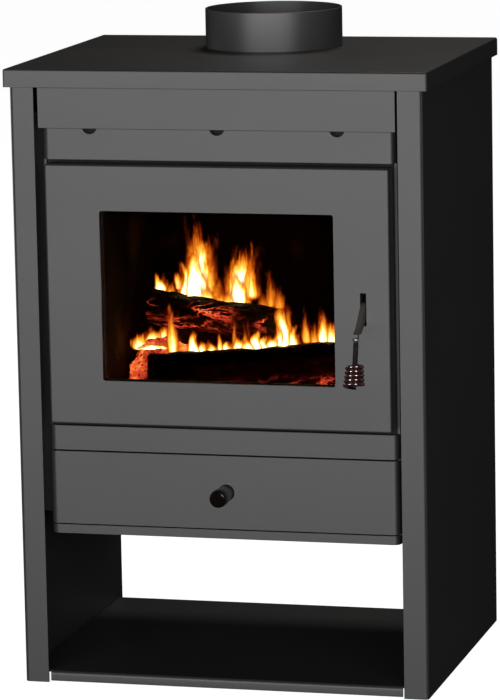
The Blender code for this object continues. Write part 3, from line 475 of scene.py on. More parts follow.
def make_piece(bm, name, maker, sharp_from, node=None, weighted=False):
    """A finished piece that takes a CAD node's place, or is part of the fire where no node is given."""
    mesh = bpy.data.meshes.new(name)
    bm.to_mesh(mesh)
    bm.free()
    mesh.materials.append(finish_for(maker))
    mesh.polygons.foreach_set("use_smooth", [True] * len(mesh.polygons))
    mesh.set_sharp_from_angle(angle=math.radians(sharp_from))
    piece = bpy.data.objects.new(name, mesh)
    bpy.context.scene.collection.objects.link(piece)
    if weighted:
        modifier = piece.modifiers.new("even_faces", "WEIGHTED_NORMAL")
        modifier.keep_sharp = True
        modifier.weight = 80
    body, slot, replaces = "stove_body", "firewood", ()
    if node:
        body, slot, replaces = frame["nodes"][node]["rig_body"], slot_of(node), (node,)
    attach(piece, body)
    if replaces:
        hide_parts(*replaces)


def merged_copy(node):
    """The CAD node's mesh in one skin, with its flat faces whole."""
    bm = bmesh.new()
    bm.from_mesh(frame["nodes"][node].data)
    bmesh.ops.remove_doubles(bm, verts=bm.verts, dist=2e-6)
    bmesh.ops.dissolve_limit(bm, angle_limit=math.radians(0.6), verts=bm.verts, edges=bm.edges)
    return bm


def soften_edges(bm, width, segments=2):
    """Rounds the outward edges, where two faces meet at more than a slight angle."""
    joins = [edge for edge in bm.edges if len(edge.link_faces) == 2 and edge.is_convex]
    edges = [edge for edge in joins if edge.calc_face_angle(0.0) > BEVEL_FROM]
    bmesh.ops.bevel(
        bm, geom=edges, offset=width, offset_type="OFFSET", affect="EDGES", segments=segments,
        profile=0.5, clamp_overlap=True, material=-1,
    )


def soften_pieces(maker, width, *nodes, segments=2):
    """Remakes CAD nodes with their cut edges eased, in a new finish."""
    for node in nodes:
        bm = merged_copy(node)
        soften_edges(bm, width, segments)
        make_piece(bm, "finished_" + node, maker, SHARP_SHEET, node, True)


def open_line(bm, points):
    """A line of edges through the points, ready to be spun."""
    verts = [bm.verts.new(point) for point in points]
    return verts + [bm.edges.new(pair) for pair in zip(verts, verts[1:])]


def spun(profile, start, along, steps):
    """A turned shape: (distance, radius) points spun about a line from start along a direction."""
    bm = bmesh.new()
    along = along.normalized()
    side = along.orthogonal().normalized()
    line = open_line(bm, [start + along * reach + side * radius for reach, radius in profile])
    bmesh.ops.spin(bm, geom=line, cent=start, axis=along, angle=math.tau, steps=steps, use_merge=True)
    bmesh.ops.remove_doubles(bm, verts=bm.verts, dist=1e-6)
    bmesh.ops.recalc_face_normals(bm, faces=bm.faces)
    return bm


def close_up(bm):
    """Fills the open rims, then faces everything outwards."""
    rims = [edge for edge in bm.edges if edge.is_boundary]
    bmesh.ops.holes_fill(bm, edges=rims, sides=0)
    bmesh.ops.recalc_face_normals(bm, faces=bm.faces)


def add_into(bm, other):
    """Adds another bmesh to this one."""
    mesh = bpy.data.meshes.new("joining")
    other.to_mesh(mesh)
    other.free()
    bm.from_mesh(mesh)
    bpy.data.meshes.remove(mesh)


# ---- settings

COLOUR = {"subtype": "COLOR", "min": 0, "max": 1}
STRENGTH = {"min": 0.0, "soft_max": 20.0}
LENGTH = {"unit": "LENGTH"}
THICKNESS = {"unit": "LENGTH", "min": 0.0}
POWER = {"unit": "POWER"}


class StoveFinishes(bpy.types.PropertyGroup):
    """Colours and strengths of the finishes."""

    paint: bpy.props.FloatVectorProperty(
        name="Paint", description="Colour of the casing paint", default=(0.034, 0.034, 0.035), **COLOUR
    )
    grip_colour: bpy.props.FloatVectorProperty(
        name="Grip", description="Colour of the spring grip", default=(0.015, 0.005, 0.0045), **COLOUR
    )
    knob_colour: bpy.props.FloatVectorProperty(
        name="Knob", description="Colour of the drawer knob", default=(0.010, 0.007, 0.006), **COLOUR
    )
    flame_strength: bpy.props.FloatProperty(
        name="Flames", description="How bright the flames are", default=3.2, **STRENGTH
    )
    ember_strength: bpy.props.FloatProperty(
        name="Embers", description="How bright the embers are", default=2.6, **STRENGTH
    )
    floor_glow: bpy.props.FloatProperty(
        name="Floor glow", description="Light that keeps the floor pale", default=0.98, min=0.0, max=1.0
    )


class StoveSizes(bpy.types.PropertyGroup):
    """Small sizes that the CAD model leaves out."""

    sheet_edge: bpy.props.FloatProperty(
        name="Sheet edge", description="Rounding of cut sheet edges", default=0.45 * MM, **THICKNESS
    )
    cast_edge: bpy.props.FloatProperty(
        name="Cast edge", description="Rounding of cast edges", default=1.1 * MM, **THICKNESS
    )
    fascia_tuck: bpy.props.FloatProperty(
        name="Fascia tuck", description="How far up it goes behind the rim", default=3.5 * MM, **LENGTH
    )
    fascia_drop: bpy.props.FloatProperty(
        name="Fascia drop", description="How far down it covers the air holes", default=1.3 * MM, **LENGTH
    )
    collar_wall: bpy.props.FloatProperty(
        name="Collar wall", description="Thickness of the flue collar", default=2.0 * MM, **THICKNESS
    )
    knob_groove: bpy.props.FloatProperty(
        name="Knob groove", description="Depth of the rings in the knob's end", default=0.55 * MM, **LENGTH
    )
    thread_pitch: bpy.props.FloatProperty(
        name="Thread pitch", description="Rod's thread", default=1.25 * MM, min=0.1 * MM, **LENGTH
    )
    grip_wire: bpy.props.FloatProperty(
        name="Grip wire", description="Radius of the grip's wire", default=2.3 * MM, min=0.1 * MM, **LENGTH
    )
    grip_rise: bpy.props.FloatProperty(
        name="Grip rise", description="How far the grip is screwed up the rod", default=2.6 * MM, **LENGTH
    )
    grip_turns: bpy.props.IntProperty(
        name="Grip turns", description="Turns in the spring grip", default=5, min=1
    )


class StoveStage(bpy.types.PropertyGroup):
    """Camera and lights."""

    camera_place: bpy.props.FloatVectorProperty(
        name="Camera", description="Its place", subtype="XYZ", default=(1.1455, -4.335, 1.1175), **LENGTH
    )
    camera_turn: bpy.props.FloatVectorProperty(
        name="Camera turn", description="Which way the camera faces", subtype="EULER", unit="ROTATION",
        default=(math.radians(80.183), math.radians(1.075), math.radians(14.681)),
    )
    camera_lens: bpy.props.FloatProperty(
        name="Lens", description="Focal length in millimetres", default=215.8, min=10.0
    )
    key_power: bpy.props.FloatProperty(
        name="Key light", description="Power of the main light", default=104.0, **POWER
    )
    glint_power: bpy.props.FloatProperty(
        name="Glints", description="Power of the grip's and knob's lights", default=120.0, **POWER
    )
    fill_power: bpy.props.FloatProperty(
        name="Fill light", description="Power of the side lights", default=8.0, **POWER
    )


# ---- casing


class STOVE_OT_casing(bpy.types.Operator):
    """Side panels, top plate, fascia, log shelf and back panel, with their cut edges eased"""

    bl_idname = "stove.casing"
    bl_label = "Casing"

    def execute(self, context):
        sizes = context.scene.stove_sizes
        panels = ("side_panel_left", "side_panel_right", "top_plate", "log_shelf", "back_panel")
        soften_pieces(stove_paint, sizes.sheet_edge, *panels)
        self.fascia(sizes)
        return {"FINISHED"}

    def fascia(self, sizes):
        """The strip under the plate, its fold tucked up behind the plate's rim."""
        node = "fascia_panel"
        near = 8.0 * MM
        low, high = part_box(node)
        bm = merged_copy(node)
        top = [vert for vert in bm.verts if high.z - vert.co.z < near]
        bottom = [vert for vert in bm.verts if vert.co.z - low.z < near]
        bmesh.ops.translate(bm, verts=top, vec=(0.0, 0.0, sizes.fascia_tuck))
        bmesh.ops.translate(bm, verts=bottom, vec=(0.0, 0.0, -sizes.fascia_drop))
        soften_edges(bm, sizes.sheet_edge)
        make_piece(bm, "fascia_strip", stove_paint, SHARP_SHEET, node, True)


class STOVE_OT_flue_collar(bpy.types.Operator):
    """The round collar that the flue pipe fits over, with an eased rim"""

    bl_idname = "stove.flue_collar"
    bl_label = "Flue collar"

    def execute(self, context):
        wall = context.scene.stove_sizes.collar_wall
        node = "flue_collar"
        low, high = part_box(node)
        middle = (low + high) / 2
        radius = (high.x - low.x) / 2
        tall = high.z - low.z
        bore = radius - wall
        ease = wall * 0.3
        round_off = ease * 0.3
        profile = [
            (0.0, bore),
            (0.0, radius),
            (tall - ease, radius),
            (tall - round_off, radius - round_off),
            (tall, radius - ease),
            (tall, bore + ease),
            (tall - round_off, bore + round_off),
            (tall - ease, bore),
            (0.0, bore),
        ]
        bm = spun(profile, Vector((middle.x, middle.y, low.z)), Vector((0, 0, 1)), 128)
        # the collar's finish is the casing paint made lighter, a painted highlight
        make_piece(bm, "flue_collar_ring", collar_paint_painted_highlight, SHARP_TURNED, node, True)
        return {"FINISHED"}


class STOVE_OT_body(bpy.types.Operator):
    """The firebox's folded front skin, the plate behind the door and the inside walls"""

    bl_idname = "stove.body"
    bl_label = "Firebox body"

    def execute(self, context):
        edge = context.scene.stove_sizes.sheet_edge
        soften_pieces(stove_paint, edge, "firebox_front")
        shell = ("door_frame", "firebox_top", "firebox_floor", "latch_keeper")
        soften_pieces(sooted_steel, edge, *shell, "airwash_deflector", "baffle_plate")
        return {"FINISHED"}


class STOVE_OT_lining(bpy.types.Operator):
    """Firebricks, grate and log retainer"""

    bl_idname = "stove.lining"
    bl_label = "Lining and grate"

    def execute(self, context):
        edge = context.scene.stove_sizes.cast_edge
        bricks = ("firebrick_left", "firebrick_right", "firebrick_back")
        soften_pieces(vermiculite, edge * 1.4, *bricks, segments=3)
        soften_pieces(cast_iron, edge * 0.7, "grate", "log_retainer")
        return {"FINISHED"}


# ---- fire

BLOCKS_PER_METRE = 85.0
BLOCK_STRETCH = 0.45
CRACK_WIDTH = 0.28
ASH_WIDE, ASH_DEEP, ASH_FRONT = 0.296, 0.236, -0.088
COALS = 150
GOLDEN_ANGLE = 2.39996
MOUND_X, MOUND_Y = -0.105, 0.03
MOUND_WIDE, MOUND_DEEP = 0.045, 0.05
HEAP_X, HEAP_Y = -0.101, 0.006
HEAP_SIZE = (0.043, 0.042, 0.050)


def crack_depth(point):
    """How far charring sinks the surface: deep at the joints between blocks of char."""
    spot = Vector((point.x * BLOCK_STRETCH, point.y, point.z)) * BLOCKS_PER_METRE
    near = noise.voronoi(spot)[0]
    gap = near[1] - near[0]
    return (1.0 - min(1.0, gap / CRACK_WIDTH)) ** 2


def mound(x, y):
    """The share of the mound's full height that stands over a point of the grate."""
    return math.exp(-(((x - MOUND_X) / MOUND_WIDE) ** 2) - (((y - MOUND_Y) / MOUND_DEEP) ** 2))


class STOVE_OT_firewood(bpy.types.Operator):
    """The three burning logs, charred into blocks and split along their length"""

    bl_idname = "stove.firewood"
    bl_label = "Firewood"

    def execute(self, context):
        for node in ("firewood_back", "firewood_front", "firewood_top"):
            bm = merged_copy(node)
            ends = [face for face in bm.faces if len(face.verts) > 4]
            bmesh.ops.poke(bm, faces=ends)
            bmesh.ops.subdivide_edges(bm, edges=bm.edges, cuts=11, use_grid_fill=True)
            axes = {"use_axis_x": True, "use_axis_y": True, "use_axis_z": True}
            bmesh.ops.smooth_vert(bm, verts=bm.verts, factor=0.5, **axes)
            bm.normal_update()
            for vert in bm.verts:
                spot = vert.co
                lump = noise.fractal(spot * 38.0, 0.9, 2.1, 4)
                fibre = noise.noise(Vector((spot.x * 30.0, spot.y * 260.0, spot.z * 260.0)))
                sink = 1.9 * crack_depth(spot) + 0.9 * max(0.0, -fibre)
                vert.co = spot + vert.normal * (lump * 1.5 - sink) * MM
            make_piece(bm, "burning_" + node, charred_wood, SHARP_NEVER, node)
        return {"FINISHED"}


def coal(bm, middle, size, seed):
    """One lump of broken charcoal."""
    made = bmesh.ops.create_icosphere(bm, subdivisions=2, radius=size)["verts"]
    axle = Vector((math.sin(seed), math.cos(seed * 2.3), 0.6)).normalized()
    turn = Matrix.Rotation(seed * 1.7, 3, axle)
    for vert in made:
        flat = Vector((vert.co.x, vert.co.y * 0.8, vert.co.z * 0.66))
        rough = 1.0 + 0.34 * noise.noise(flat / size * 1.1 + Vector((seed * 3.1, seed, 0.0)))
        vert.co = middle + turn @ (flat * rough)


class STOVE_OT_ember_bed(bpy.types.Operator):
    """Ash on the grate, and glowing coals heaped round the logs"""

    bl_idname = "stove.ember_bed"
    bl_label = "Ember bed"

    def execute(self, context):
        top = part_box("grate")[1].z + 0.3 * MM
        self.ash(top)
        self.coals(top)
        self.heap(top)
        return {"FINISHED"}

    def ash(self, top):
        """A lumpy crust of ash that thins out to its rim."""
        bm = bmesh.new()
        crust = bmesh.ops.create_grid(bm, x_segments=96, y_segments=64, size=0.5)["verts"]
        for vert in crust:
            across, back = vert.co.x, vert.co.y
            x = across * ASH_WIDE
            y = ASH_FRONT + (back + 0.5) * ASH_DEEP
            rim = max(0.0, min(1.0, (0.5 - abs(across)) * 9.0, (0.5 - abs(back)) * 7.0))
            lump = noise.fractal(Vector((x, y, 0.3)) * 26.0, 0.9, 2.0, 4)
            heap = 13.2 * mound(x, y) + 3.0 + 5.0 * lump
            vert.co = Vector((x, y, top + max(0.2, heap) * rim * MM))
        bmesh.ops.solidify(bm, geom=list(bm.faces), thickness=0.25 * MM)
        bmesh.ops.recalc_face_normals(bm, faces=bm.faces)
        make_piece(bm, "ash_on_grate", ash_bed, SHARP_NEVER)

    def coals(self, top):
        """Coals in a sunflower's spiral, highest over the mound."""
        bm = bmesh.new()
        for index in range(COALS):
            turn = index * GOLDEN_ANGLE
            spread = math.sqrt((index + 0.5) / COALS)
            x = 0.128 * spread * math.cos(turn) - 0.01
            y = 0.022 + 0.098 * spread * math.sin(turn)
            size = (3.6 + 7.6 * abs(noise.noise(Vector((index * 0.71, 2.0, 5.0))))) * MM
            lift = size * 0.62 + 15.0 * mound(x, y) * MM
            coal(bm, Vector((x, y, top + lift)), size, index * 0.37)
        make_piece(bm, "glowing_coals", live_embers, SHARP_COAL)

    def heap(self, top):
        """The lump of embers at the left, cut off flat where it lies on the ash."""
        bm = bmesh.new()
        lump = bmesh.ops.create_icosphere(bm, subdivisions=6, radius=1.0)["verts"]
        middle = Vector((HEAP_X, HEAP_Y, top))
        for vert in lump:
            rough = 1.0 + 0.16 * noise.fractal(vert.co * 2.6, 0.9, 2.1, 5)
            vert.co = middle + Vector(a * b for a, b in zip(vert.co, HEAP_SIZE)) * rough
        whole = [*bm.verts, *bm.edges, *bm.faces]
        ground, down = (0.0, 0.0, top), (0.0, 0.0, -1.0)
        bmesh.ops.bisect_plane(bm, geom=whole, plane_co=ground, plane_no=down, clear_outer=True)
        close_up(bm)
        make_piece(bm, "ember_heap", live_embers, SHARP_NEVER)


# (x, y, foot height, height, width, lean, heat): lengths in millimetres
FLAMES = (
    # on the top log: two tall fires and the low ones between and beside them
    (-121, 58, 392, 26, 11, -3, 0.9), (-110, 56, 391, 20, 10, 9, 0.6), (-97, 54, 396, 26, 11, -8, 0.8),
    (-79, 52, 385, 82, 24, 5, 1.08), (-85, 47, 385, 48, 20, -5, 1.05), (-76, 45, 385, 62, 20, 3, 1.1),
    (-66, 55, 386, 88, 15, 1, 0.68), (-80, 57, 398, 92, 17, -5, 0.68), (-72, 58, 404, 84, 12, -8, 0.6),
    (-57, 50, 385, 40, 15, 5, 0.6), (-66, 44, 384, 26, 24, 2, 0.8), (-48, 45, 383, 22, 26, -2, 0.62),
    (-38, 42, 382, 25, 20, 3, 0.7), (-30, 46, 382, 70, 20, 8, 1.02), (-29, 40, 380, 46, 18, 4, 1.05),
    (-20, 48, 384, 78, 15, 13, 0.66), (-15, 48, 386, 78, 16, 3, 0.74), (-40, 50, 386, 56, 12, -8, 0.55),
    (0, 44, 380, 28, 16, -7, 0.5), (8, 44, 378, 58, 11, -3, 0.6), (18, 42, 378, 40, 11, 4, 0.6),
    # beyond the heap of embers, then along the front log from left to right
    (-141, 44, 330, 22, 18, -2, 0.85), (-129, 50, 334, 22, 18, 2, 0.95),
    (-118, 52, 336, 26, 14, 2, 0.9), (-110, -14, 342, 7, 30, 2, 1.0), (-83, -30, 336, 70, 11, -3, 0.75),
    (-57, -38, 339, 32, 12, -1, 1.0), (-50, -34, 339, 19, 13, 2, 1.0), (-41, -30, 340, 16, 14, 2, 0.95),
    (-32, -25, 340, 28, 8, 1, 0.8), (-24, -22, 340, 17, 14, 1, 0.95), (-18, -12, 340, 46, 7, -1, 0.65),
    (-14, -16, 341, 19, 13, 2, 0.95), (-9, -7, 341, 40, 7, 1, 0.65), (-5, -13, 341, 17, 13, 2, 0.95),
    (3, -8, 341, 26, 13, 3, 1.0), (10, -5, 341, 20, 13, 2, 1.0), (19, -1, 342, 18, 13, 3, 0.95),
    (25, 1, 343, 30, 12, 4, 0.9), (31, 3, 343, 56, 15, -1, 1.0), (40, 6, 343, 30, 15, 4, 0.9),
    (55, 15, 345, 50, 10, -5, 0.65), (63, 19, 345, 30, 12, 0, 0.6), (71, 23, 345, 44, 12, 3, 0.85),
    (80, 27, 345, 30, 15, 4, 0.85),
)


def tongue(bm, flame, bend):
    """One curled sheet of fire, with its own coordinates and warmth for the finish."""
    x, y, foot, tall, wide, lean, heat = flame
    sheet = bm.loops.layers.uv["tongue"]
    warmth = bm.verts.layers.float["warmth"]
    grid = bmesh.ops.create_grid(bm, x_segments=6, y_segments=18, size=0.5)["verts"]
    for face in {face for vert in grid for face in vert.link_faces}:
        for loop in face.loops:
            loop[sheet].uv = (loop.vert.co.x + 0.5, loop.vert.co.y + 0.5)
    swing = 0.3 * math.sin(bend * 2.3)
    for vert in grid:
        across, up = vert.co.x, vert.co.y + 0.5
        slim = (0.7 + 0.3 * min(1.0, up / 0.2)) * (1.0 - 0.55 * up**1.4)
        sway = lean * up * up + wide * 0.2 * math.sin(6.0 * up + bend) * up
        side = across * wide * slim * 1.5
        curl = wide * 0.22 * math.cos(math.pi * across) + 1.5 * math.sin(5.0 * up + bend)
        right = x + sway + side * math.cos(swing)
        back = y + side * math.sin(swing) - curl * 0.4
        vert.co = Vector((right, back, foot + up * tall)) * MM
        vert[warmth] = heat


class STOVE_OT_flames(bpy.types.Operator):
    """Curled sheets of flame on the logs, each with two fainter ones behind it"""

    bl_idname = "stove.flames"
    bl_label = "Flames"

    def execute(self, context):
        bm = bmesh.new()
        bm.loops.layers.uv.new("tongue")
        bm.verts.layers.float.new("warmth")
        for number, (x, y, foot, tall, wide, lean, heat) in enumerate(FLAMES):
            tongue(bm, (x, y, foot, tall, wide, lean, heat), number * 1.3)
            for side in (-1, 1):
                higher = 0.9 + 0.28 * math.sin(number * 2.1 + side)
                skirt = (x + side * wide * 0.3, y + 5 + side, foot, tall * higher, wide * 0.8)
                tongue(bm, (*skirt, lean + side * wide * 0.2, heat * 0.62), number * 1.3 + side)
        make_piece(bm, "flames", flame_light, SHARP_NEVER)
        return {"FINISHED"}


# ---- door


class STOVE_OT_door(bpy.types.Operator):
    """Pressed door pan, its inner frame, window glass, clips, hinge blocks and handle bracket"""

    bl_idname = "stove.door"
    bl_label = "Door"

    def execute(self, context):
        edge = context.scene.stove_sizes.sheet_edge
        # the hinge lugs' slots start close to the pan's inside corner, so its edges are eased less
        soften_pieces(stove_paint, edge * 0.33, "door_shell")
        soften_pieces(sooted_steel, edge, "door_inner_frame")
        soften_pieces(clear_glass, edge * 0.6, "door_glass")
        clips = [f"glass_clip_{row}_{side}" for row in ("upper", "lower") for side in ("left", "right")]
        soften_pieces(bright_steel, edge * 0.6, *clips)
        blocks = ("door_hinge_block_lower", "door_hinge_block_upper", "handle_bracket")
        soften_pieces(sooted_steel, edge * 0.8, *blocks)
        return {"FINISHED"}


class STOVE_OT_hinges(bpy.types.Operator):
    """Hinge lugs and pins on the body"""

    bl_idname = "stove.hinges"
    bl_label = "Hinges"

    def execute(self, context):
        edge = context.scene.stove_sizes.sheet_edge
        soften_pieces(sooted_steel, edge * 0.8, "hinge_lug_lower", "hinge_lug_upper")
        soften_pieces(bright_steel, edge * 0.6, "hinge_pin_lower", "hinge_pin_upper")
        return {"FINISHED"}


# ---- handle

ROD_TILT = math.radians(14.5)
ROD_RADIUS = 3.1 * MM
ROD_CHAMFER = 0.5 * MM
THREAD_ROOT, THREAD_CREST = 2.35 * MM, 3.0 * MM
THREAD_END = 1.2 * MM
THREAD_STEPS = 18
GRIP_LONG = 27.0 * MM
GRIP_TOP, GRIP_END = 9.6 * MM, 11.7 * MM
GRIP_STEPS = 32


def rod_line():
    """Where the handle rod starts, the way it points and its length."""
    low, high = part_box("handle_rod")
    along = Vector((0.0, -math.sin(ROD_TILT), -math.cos(ROD_TILT)))
    middle = (low + high) / 2
    reach = (high.z - low.z - 2 * ROD_RADIUS * math.sin(ROD_TILT)) / math.cos(ROD_TILT)
    return middle - along * reach / 2, along, reach


class STOVE_OT_handle(bpy.types.Operator):
    """Lever, lock nut, threaded rod and open spring grip"""

    bl_idname = "stove.handle"
    bl_label = "Door handle"

    def execute(self, context):
        sizes = context.scene.stove_sizes
        soften_pieces(handled_steel, 0.6 * MM, "handle_lever", segments=3)
        soften_pieces(bright_steel, 0.3 * MM, "handle_lock_nut")
        self.rod(sizes)
        self.grip(sizes)
        return {"FINISHED"}

    def rod(self, sizes):
        """A helical thread round a core with chamfered ends."""
        start, along, reach = rod_line()
        reach -= sizes.grip_rise
        pitch = sizes.thread_pitch
        root = THREAD_ROOT
        turns = int((reach - 2 * THREAD_END) / pitch)
        bm = bmesh.new()
        side = Vector((1.0, 0.0, 0.0))
        first = start + along * THREAD_END
        tooth = ((0.0, root), (0.5, THREAD_CREST), (1.0, root))
        line = open_line(bm, [first + along * pitch * part + side * radius for part, radius in tooth])
        bmesh.ops.spin(
            bm, geom=line, cent=start, axis=along, dvec=along * (pitch / THREAD_STEPS),
            angle=math.tau * turns, steps=THREAD_STEPS * turns,
        )
        bmesh.ops.remove_doubles(bm, verts=bm.verts, dist=0.02 * MM)
        bmesh.ops.recalc_face_normals(bm, faces=bm.faces)
        body = root + 0.1 * MM
        core = [
            (0.0, 0.0),
            (0.0, root - 0.3 * MM),
            (ROD_CHAMFER, body),
            (reach - ROD_CHAMFER, body),
            (reach, root - 0.4 * MM),
            (reach, 0.0),
        ]
        add_into(bm, spun(core, start, along, THREAD_STEPS))
        make_piece(bm, "threaded_rod", oiled_steel, SHARP_THREAD, "handle_rod")

    def grip(self, sizes):
        """Wire wound in a slight cone, so that air passes through it."""
        start, along = rod_line()[:2]
        wire = sizes.grip_wire
        node = "handle_spring_grip"
        low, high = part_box(node)
        centre = (high + low) / 2
        long = GRIP_LONG - 2 * wire
        middle = start + along * ((centre - start).dot(along) - sizes.grip_rise)
        first = middle - along * long / 2
        top, end = GRIP_TOP - wire, GRIP_END - wire
        face = Vector((1.0, 0.0, 0.0))
        side = face.cross(along).normalized()
        bm = bmesh.new()
        ring = bmesh.ops.create_circle(bm, segments=12, radius=wire)["verts"]
        turn = Matrix((side, along, face)).transposed()
        for vert in ring:
            vert.co = first + side * top + turn @ Vector((vert.co.x, vert.co.y, 0.0))
        edges = list({edge for vert in ring for edge in vert.link_edges})
        steps = sizes.grip_turns * GRIP_STEPS
        bmesh.ops.spin(
            bm, geom=ring + edges, cent=first, axis=along, dvec=along * (long / steps),
            angle=math.tau * sizes.grip_turns, steps=steps,
        )
        for vert in bm.verts:
            travel = (vert.co - first).dot(along)
            spoke = vert.co - first - along * travel
            vert.co += spoke.normalized() * (end - top) * max(0.0, min(1.0, travel / long))
        bmesh.ops.remove_doubles(bm, verts=bm.verts, dist=1e-7)
        close_up(bm)
        make_piece(bm, "spring_grip", spring_enamel, SHARP_TURNED, node)


# ---- ash drawer


class STOVE_OT_drawer(bpy.types.Operator):
    """Ash drawer front and tray"""

    bl_idname = "stove.drawer"
    bl_label = "Ash drawer"

    def execute(self, context):
        edge = context.scene.stove_sizes.sheet_edge
        soften_pieces(stove_paint, edge, "drawer_front")
        soften_pieces(sooted_steel, edge * 0.6, "ash_drawer_tray")
        soften_pieces(bright_steel, edge * 0.4, "knob_screw")
        return {"FINISHED"}


# the knob in millimetres: (distance from its foot, radius) up its neck
KNOB_NECK = ((0.0, 2.4), (0.0, 8.3), (0.5, 8.9), (1.8, 9.0), (2.6, 8.6), (4.0, 8.2))
KNOB_NECK += ((9.0, 8.0), (14.0, 8.1), (18.0, 8.5), (21.5, 9.1), (24.0, 9.6))
KNOB_BAND = 26.0 * MM
# (distance back from its end, distance in from its full radius) round its rim
KNOB_RIM = ((6.0, 0.0), (3.4, 0.3), (1.8, 0.9), (0.8, 1.7), (0.4, 2.4))
# (distance back from its end, radius, grooves cut to here) across its end
KNOB_FACE = ((0.3, 6.6, 0), (0.3, 6.3, 1), (0.3, 5.7, 1), (0.2, 5.4, 0), (0.1, 4.2, 0))
KNOB_FACE += ((0.1, 3.9, 1), (0.1, 3.3, 1), (0.1, 3.0, 0), (0.0, 1.4, 0), (0.0, 0.0, 0))
KNOB_BORE = 14.0 * MM


class STOVE_OT_knob(bpy.types.Operator):
    """The turned and ringed drawer knob"""

    bl_idname = "stove.knob"
    bl_label = "Drawer knob"

    def execute(self, context):
        groove = context.scene.stove_sizes.knob_groove
        node = "drawer_knob"
        low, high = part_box(node)
        middle = (low + high) / 2
        radius = (high.x - low.x) / 2
        reach = high.y - low.y
        profile = [(far * MM, wide * MM) for far, wide in KNOB_NECK]
        profile.append((KNOB_BAND, radius))
        profile += [(reach - back * MM, radius - short * MM) for back, short in KNOB_RIM]
        profile += [(reach - back * MM - groove * cut, wide * MM) for back, wide, cut in KNOB_FACE]
        start = Vector((middle.x, high.y, middle.z))
        bm = spun(profile, start, Vector((0.0, -1.0, 0.0)), 72)
        bore = [edge for edge in bm.edges if edge.is_boundary]
        sunk = bmesh.ops.extrude_edge_only(bm, edges=bore)["geom"]
        moved = [item for item in sunk if isinstance(item, bmesh.types.BMVert)]
        bmesh.ops.translate(bm, verts=moved, vec=(0.0, -KNOB_BORE, 0.0))
        close_up(bm)
        make_piece(bm, "ringed_knob", moulded_plastic, SHARP_TURNED, node)
        return {"FINISHED"}


class STOVE_OT_fittings(bpy.types.Operator):
    """Finishes every part of the CAD model that is still on show"""

    bl_idname = "stove.fittings"
    bl_label = "Remaining fittings"

    def execute(self, context):
        for name, node in frame["nodes"].items():
            if node.hide_render:
                continue
            finish = finish_for(FINISHES[slot_of(name)])
            for index in range(len(node.data.materials)):
                node.data.materials[index] = finish
        return {"FINISHED"}


# ---- stage

GLINTS = (
    ("glint_left", -1.55, "spring_grip", 1.0),
    ("glint_right", 1.85, "spring_grip", 1.0),
    ("glint_low", 1.3, "ringed_knob", 0.4),
)
SIDE_AIM = (0.0, 0.0, 0.35)
SIDE_SIZE = (1.6, 1.6)
WARM = (1.0, 0.94, 0.9)
FLOOR_HALF = 30.0


def soft_light(name, place, target, size, power, colour=(1.0, 1.0, 1.0)):
    """A rectangular light aimed at a point, unseen by the camera."""
    data = bpy.data.lights.new(name, "AREA")
    data.shape = "RECTANGLE"
    data.size, data.size_y = size
    data.energy = power
    data.color = colour
    lamp = bpy.data.objects.new(name, data)
    lamp.location = place
    lamp.rotation_euler = (Vector(target) - Vector(place)).to_track_quat("-Z", "Y").to_euler()
    lamp.visible_camera = False
    bpy.context.scene.collection.objects.link(lamp)
    return lamp


def light_group(lamp, kind, names, state):
    """Limits what a light shines on, or what blocks it, as flags and filters do in a studio."""
    group = bpy.data.collections.new(lamp.name + "_" + kind)
    for name in names:
        group.objects.link(bpy.data.objects[name])
    setattr(lamp.light_linking, kind + "_collection", group)
    for entry in group.collection_objects:
        entry.light_linking.link_state = state


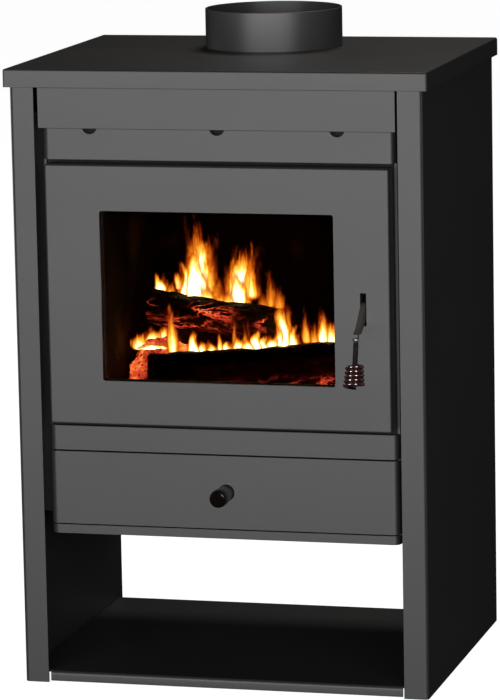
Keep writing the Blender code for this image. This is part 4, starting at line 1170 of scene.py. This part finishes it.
class STOVE_OT_stage(bpy.types.Operator):
    """Pale floor, plain soft light and the camera"""

    bl_idname = "stove.stage"
    bl_label = "Stage"

    def execute(self, context):
        settings = context.scene.stove_stage
        self.floor()
        self.world(context.scene)
        key = soft_light("key", (0.5, -3.2, 0.62), (0.42, 0.0, 0.5), (5.6, 2.3), settings.key_power)
        glossy = ("ringed_knob", "spring_grip")
        light_group(key, "receiver", ("finished_door_glass", *glossy), "EXCLUDE")
        light_group(key, "blocker", ("threaded_rod", "finished_handle_lever", *glossy), "EXCLUDE")
        for name, side, piece, share in GLINTS:
            power = settings.glint_power * share
            glint = soft_light(name, (side, -2.7, 1.35), (0.1, -0.2, 0.3), (0.9, 0.9), power)
            light_group(glint, "receiver", (piece,), "INCLUDE")
        fill = settings.fill_power
        left = soft_light("left", (-2.6, 0.5, 0.6), SIDE_AIM, SIDE_SIZE, fill)
        right = soft_light("right", (2.6, 0.6, 0.6), SIDE_AIM, SIDE_SIZE, fill * 0.6, WARM)
        for side in (left, right):
            light_group(side, "receiver", ("flue_collar_ring",), "EXCLUDE")
        tint = (1.0, 0.95, 0.9)
        soft_light("back", (0.3, 1.9, 3.0), (0.0, 0.1, 0.45), (1.6, 1.0), fill * 2.6, tint)
        self.camera(context.scene, settings)
        return {"FINISHED"}

    def floor(self):
        bm = bmesh.new()
        bmesh.ops.create_grid(bm, x_segments=1, y_segments=1, size=FLOOR_HALF)
        mesh = bpy.data.meshes.new("studio_floor")
        bm.to_mesh(mesh)
        bm.free()
        mesh.materials.append(finish_for(stage_floor))
        floor = bpy.data.objects.new("studio_floor", mesh)
        for ray in ("diffuse", "glossy", "transmission", "shadow"):
            setattr(floor, "visible_" + ray, False)
        bpy.context.scene.collection.objects.link(floor)

    def world(self, scene):
        world = bpy.data.worlds.new("studio_air")
        scene.world = world
        world.use_nodes = True
        air = world.node_tree.nodes["Background"]
        air.inputs["Color"].default_value = (1.0, 1.0, 1.0, 1.0)
        air.inputs["Strength"].default_value = 1.0
        for ray in ("diffuse", "glossy", "transmission"):
            setattr(world.cycles_visibility, ray, False)
        scene.view_settings.view_transform = "Standard"

    def camera(self, scene, settings):
        data = bpy.data.cameras.new("studio_camera")
        data.sensor_fit = "AUTO"
        data.sensor_width = 36.0
        data.lens = settings.camera_lens
        data.clip_end = 200.0
        camera = bpy.data.objects.new("studio_camera", data)
        camera.location = settings.camera_place
        camera.rotation_euler = settings.camera_turn
        scene.collection.objects.link(camera)
        scene.camera = camera


# ---- panel and registration

STEPS = (
    STOVE_OT_casing, STOVE_OT_flue_collar, STOVE_OT_body, STOVE_OT_lining, STOVE_OT_firewood,
    STOVE_OT_ember_bed, STOVE_OT_flames, STOVE_OT_door, STOVE_OT_hinges, STOVE_OT_handle,
    STOVE_OT_drawer, STOVE_OT_knob, STOVE_OT_fittings, STOVE_OT_stage,
)
GROUPS = (
    ("stove_finishes", StoveFinishes),
    ("stove_sizes", StoveSizes),
    ("stove_stage", StoveStage),
)


class STOVE_PT_build(bpy.types.Panel):
    """Lists the steps that build the stove"""

    bl_idname = "STOVE_PT_build"
    bl_label = "Wood burning stove"
    bl_space_type = "VIEW_3D"
    bl_region_type = "UI"
    bl_category = "Stove"

    def draw(self, context):
        for name, group in GROUPS:
            settings = getattr(context.scene, name)
            box = self.layout.box()
            for field in group.__annotations__:
                box.prop(settings, field)
        for step in STEPS:
            self.layout.operator(step.bl_idname)


def register():
    for name, group in GROUPS:
        bpy.utils.register_class(group)
        setattr(bpy.types.Scene, name, bpy.props.PointerProperty(type=group))
    for step in STEPS:
        bpy.utils.register_class(step)
    bpy.utils.register_class(STOVE_PT_build)


def unregister():
    bpy.utils.unregister_class(STOVE_PT_build)
    for step in reversed(STEPS):
        bpy.utils.unregister_class(step)
    for name, group in reversed(GROUPS):
        delattr(bpy.types.Scene, name)
        bpy.utils.unregister_class(group)


def main():
    """Registers the classes and builds every piece in order."""
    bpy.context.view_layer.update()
    register()
    for step in STEPS:
        group, name = step.bl_idname.split(".")
        getattr(getattr(bpy.ops, group), name)()


if __name__ == "__main__":
    main()
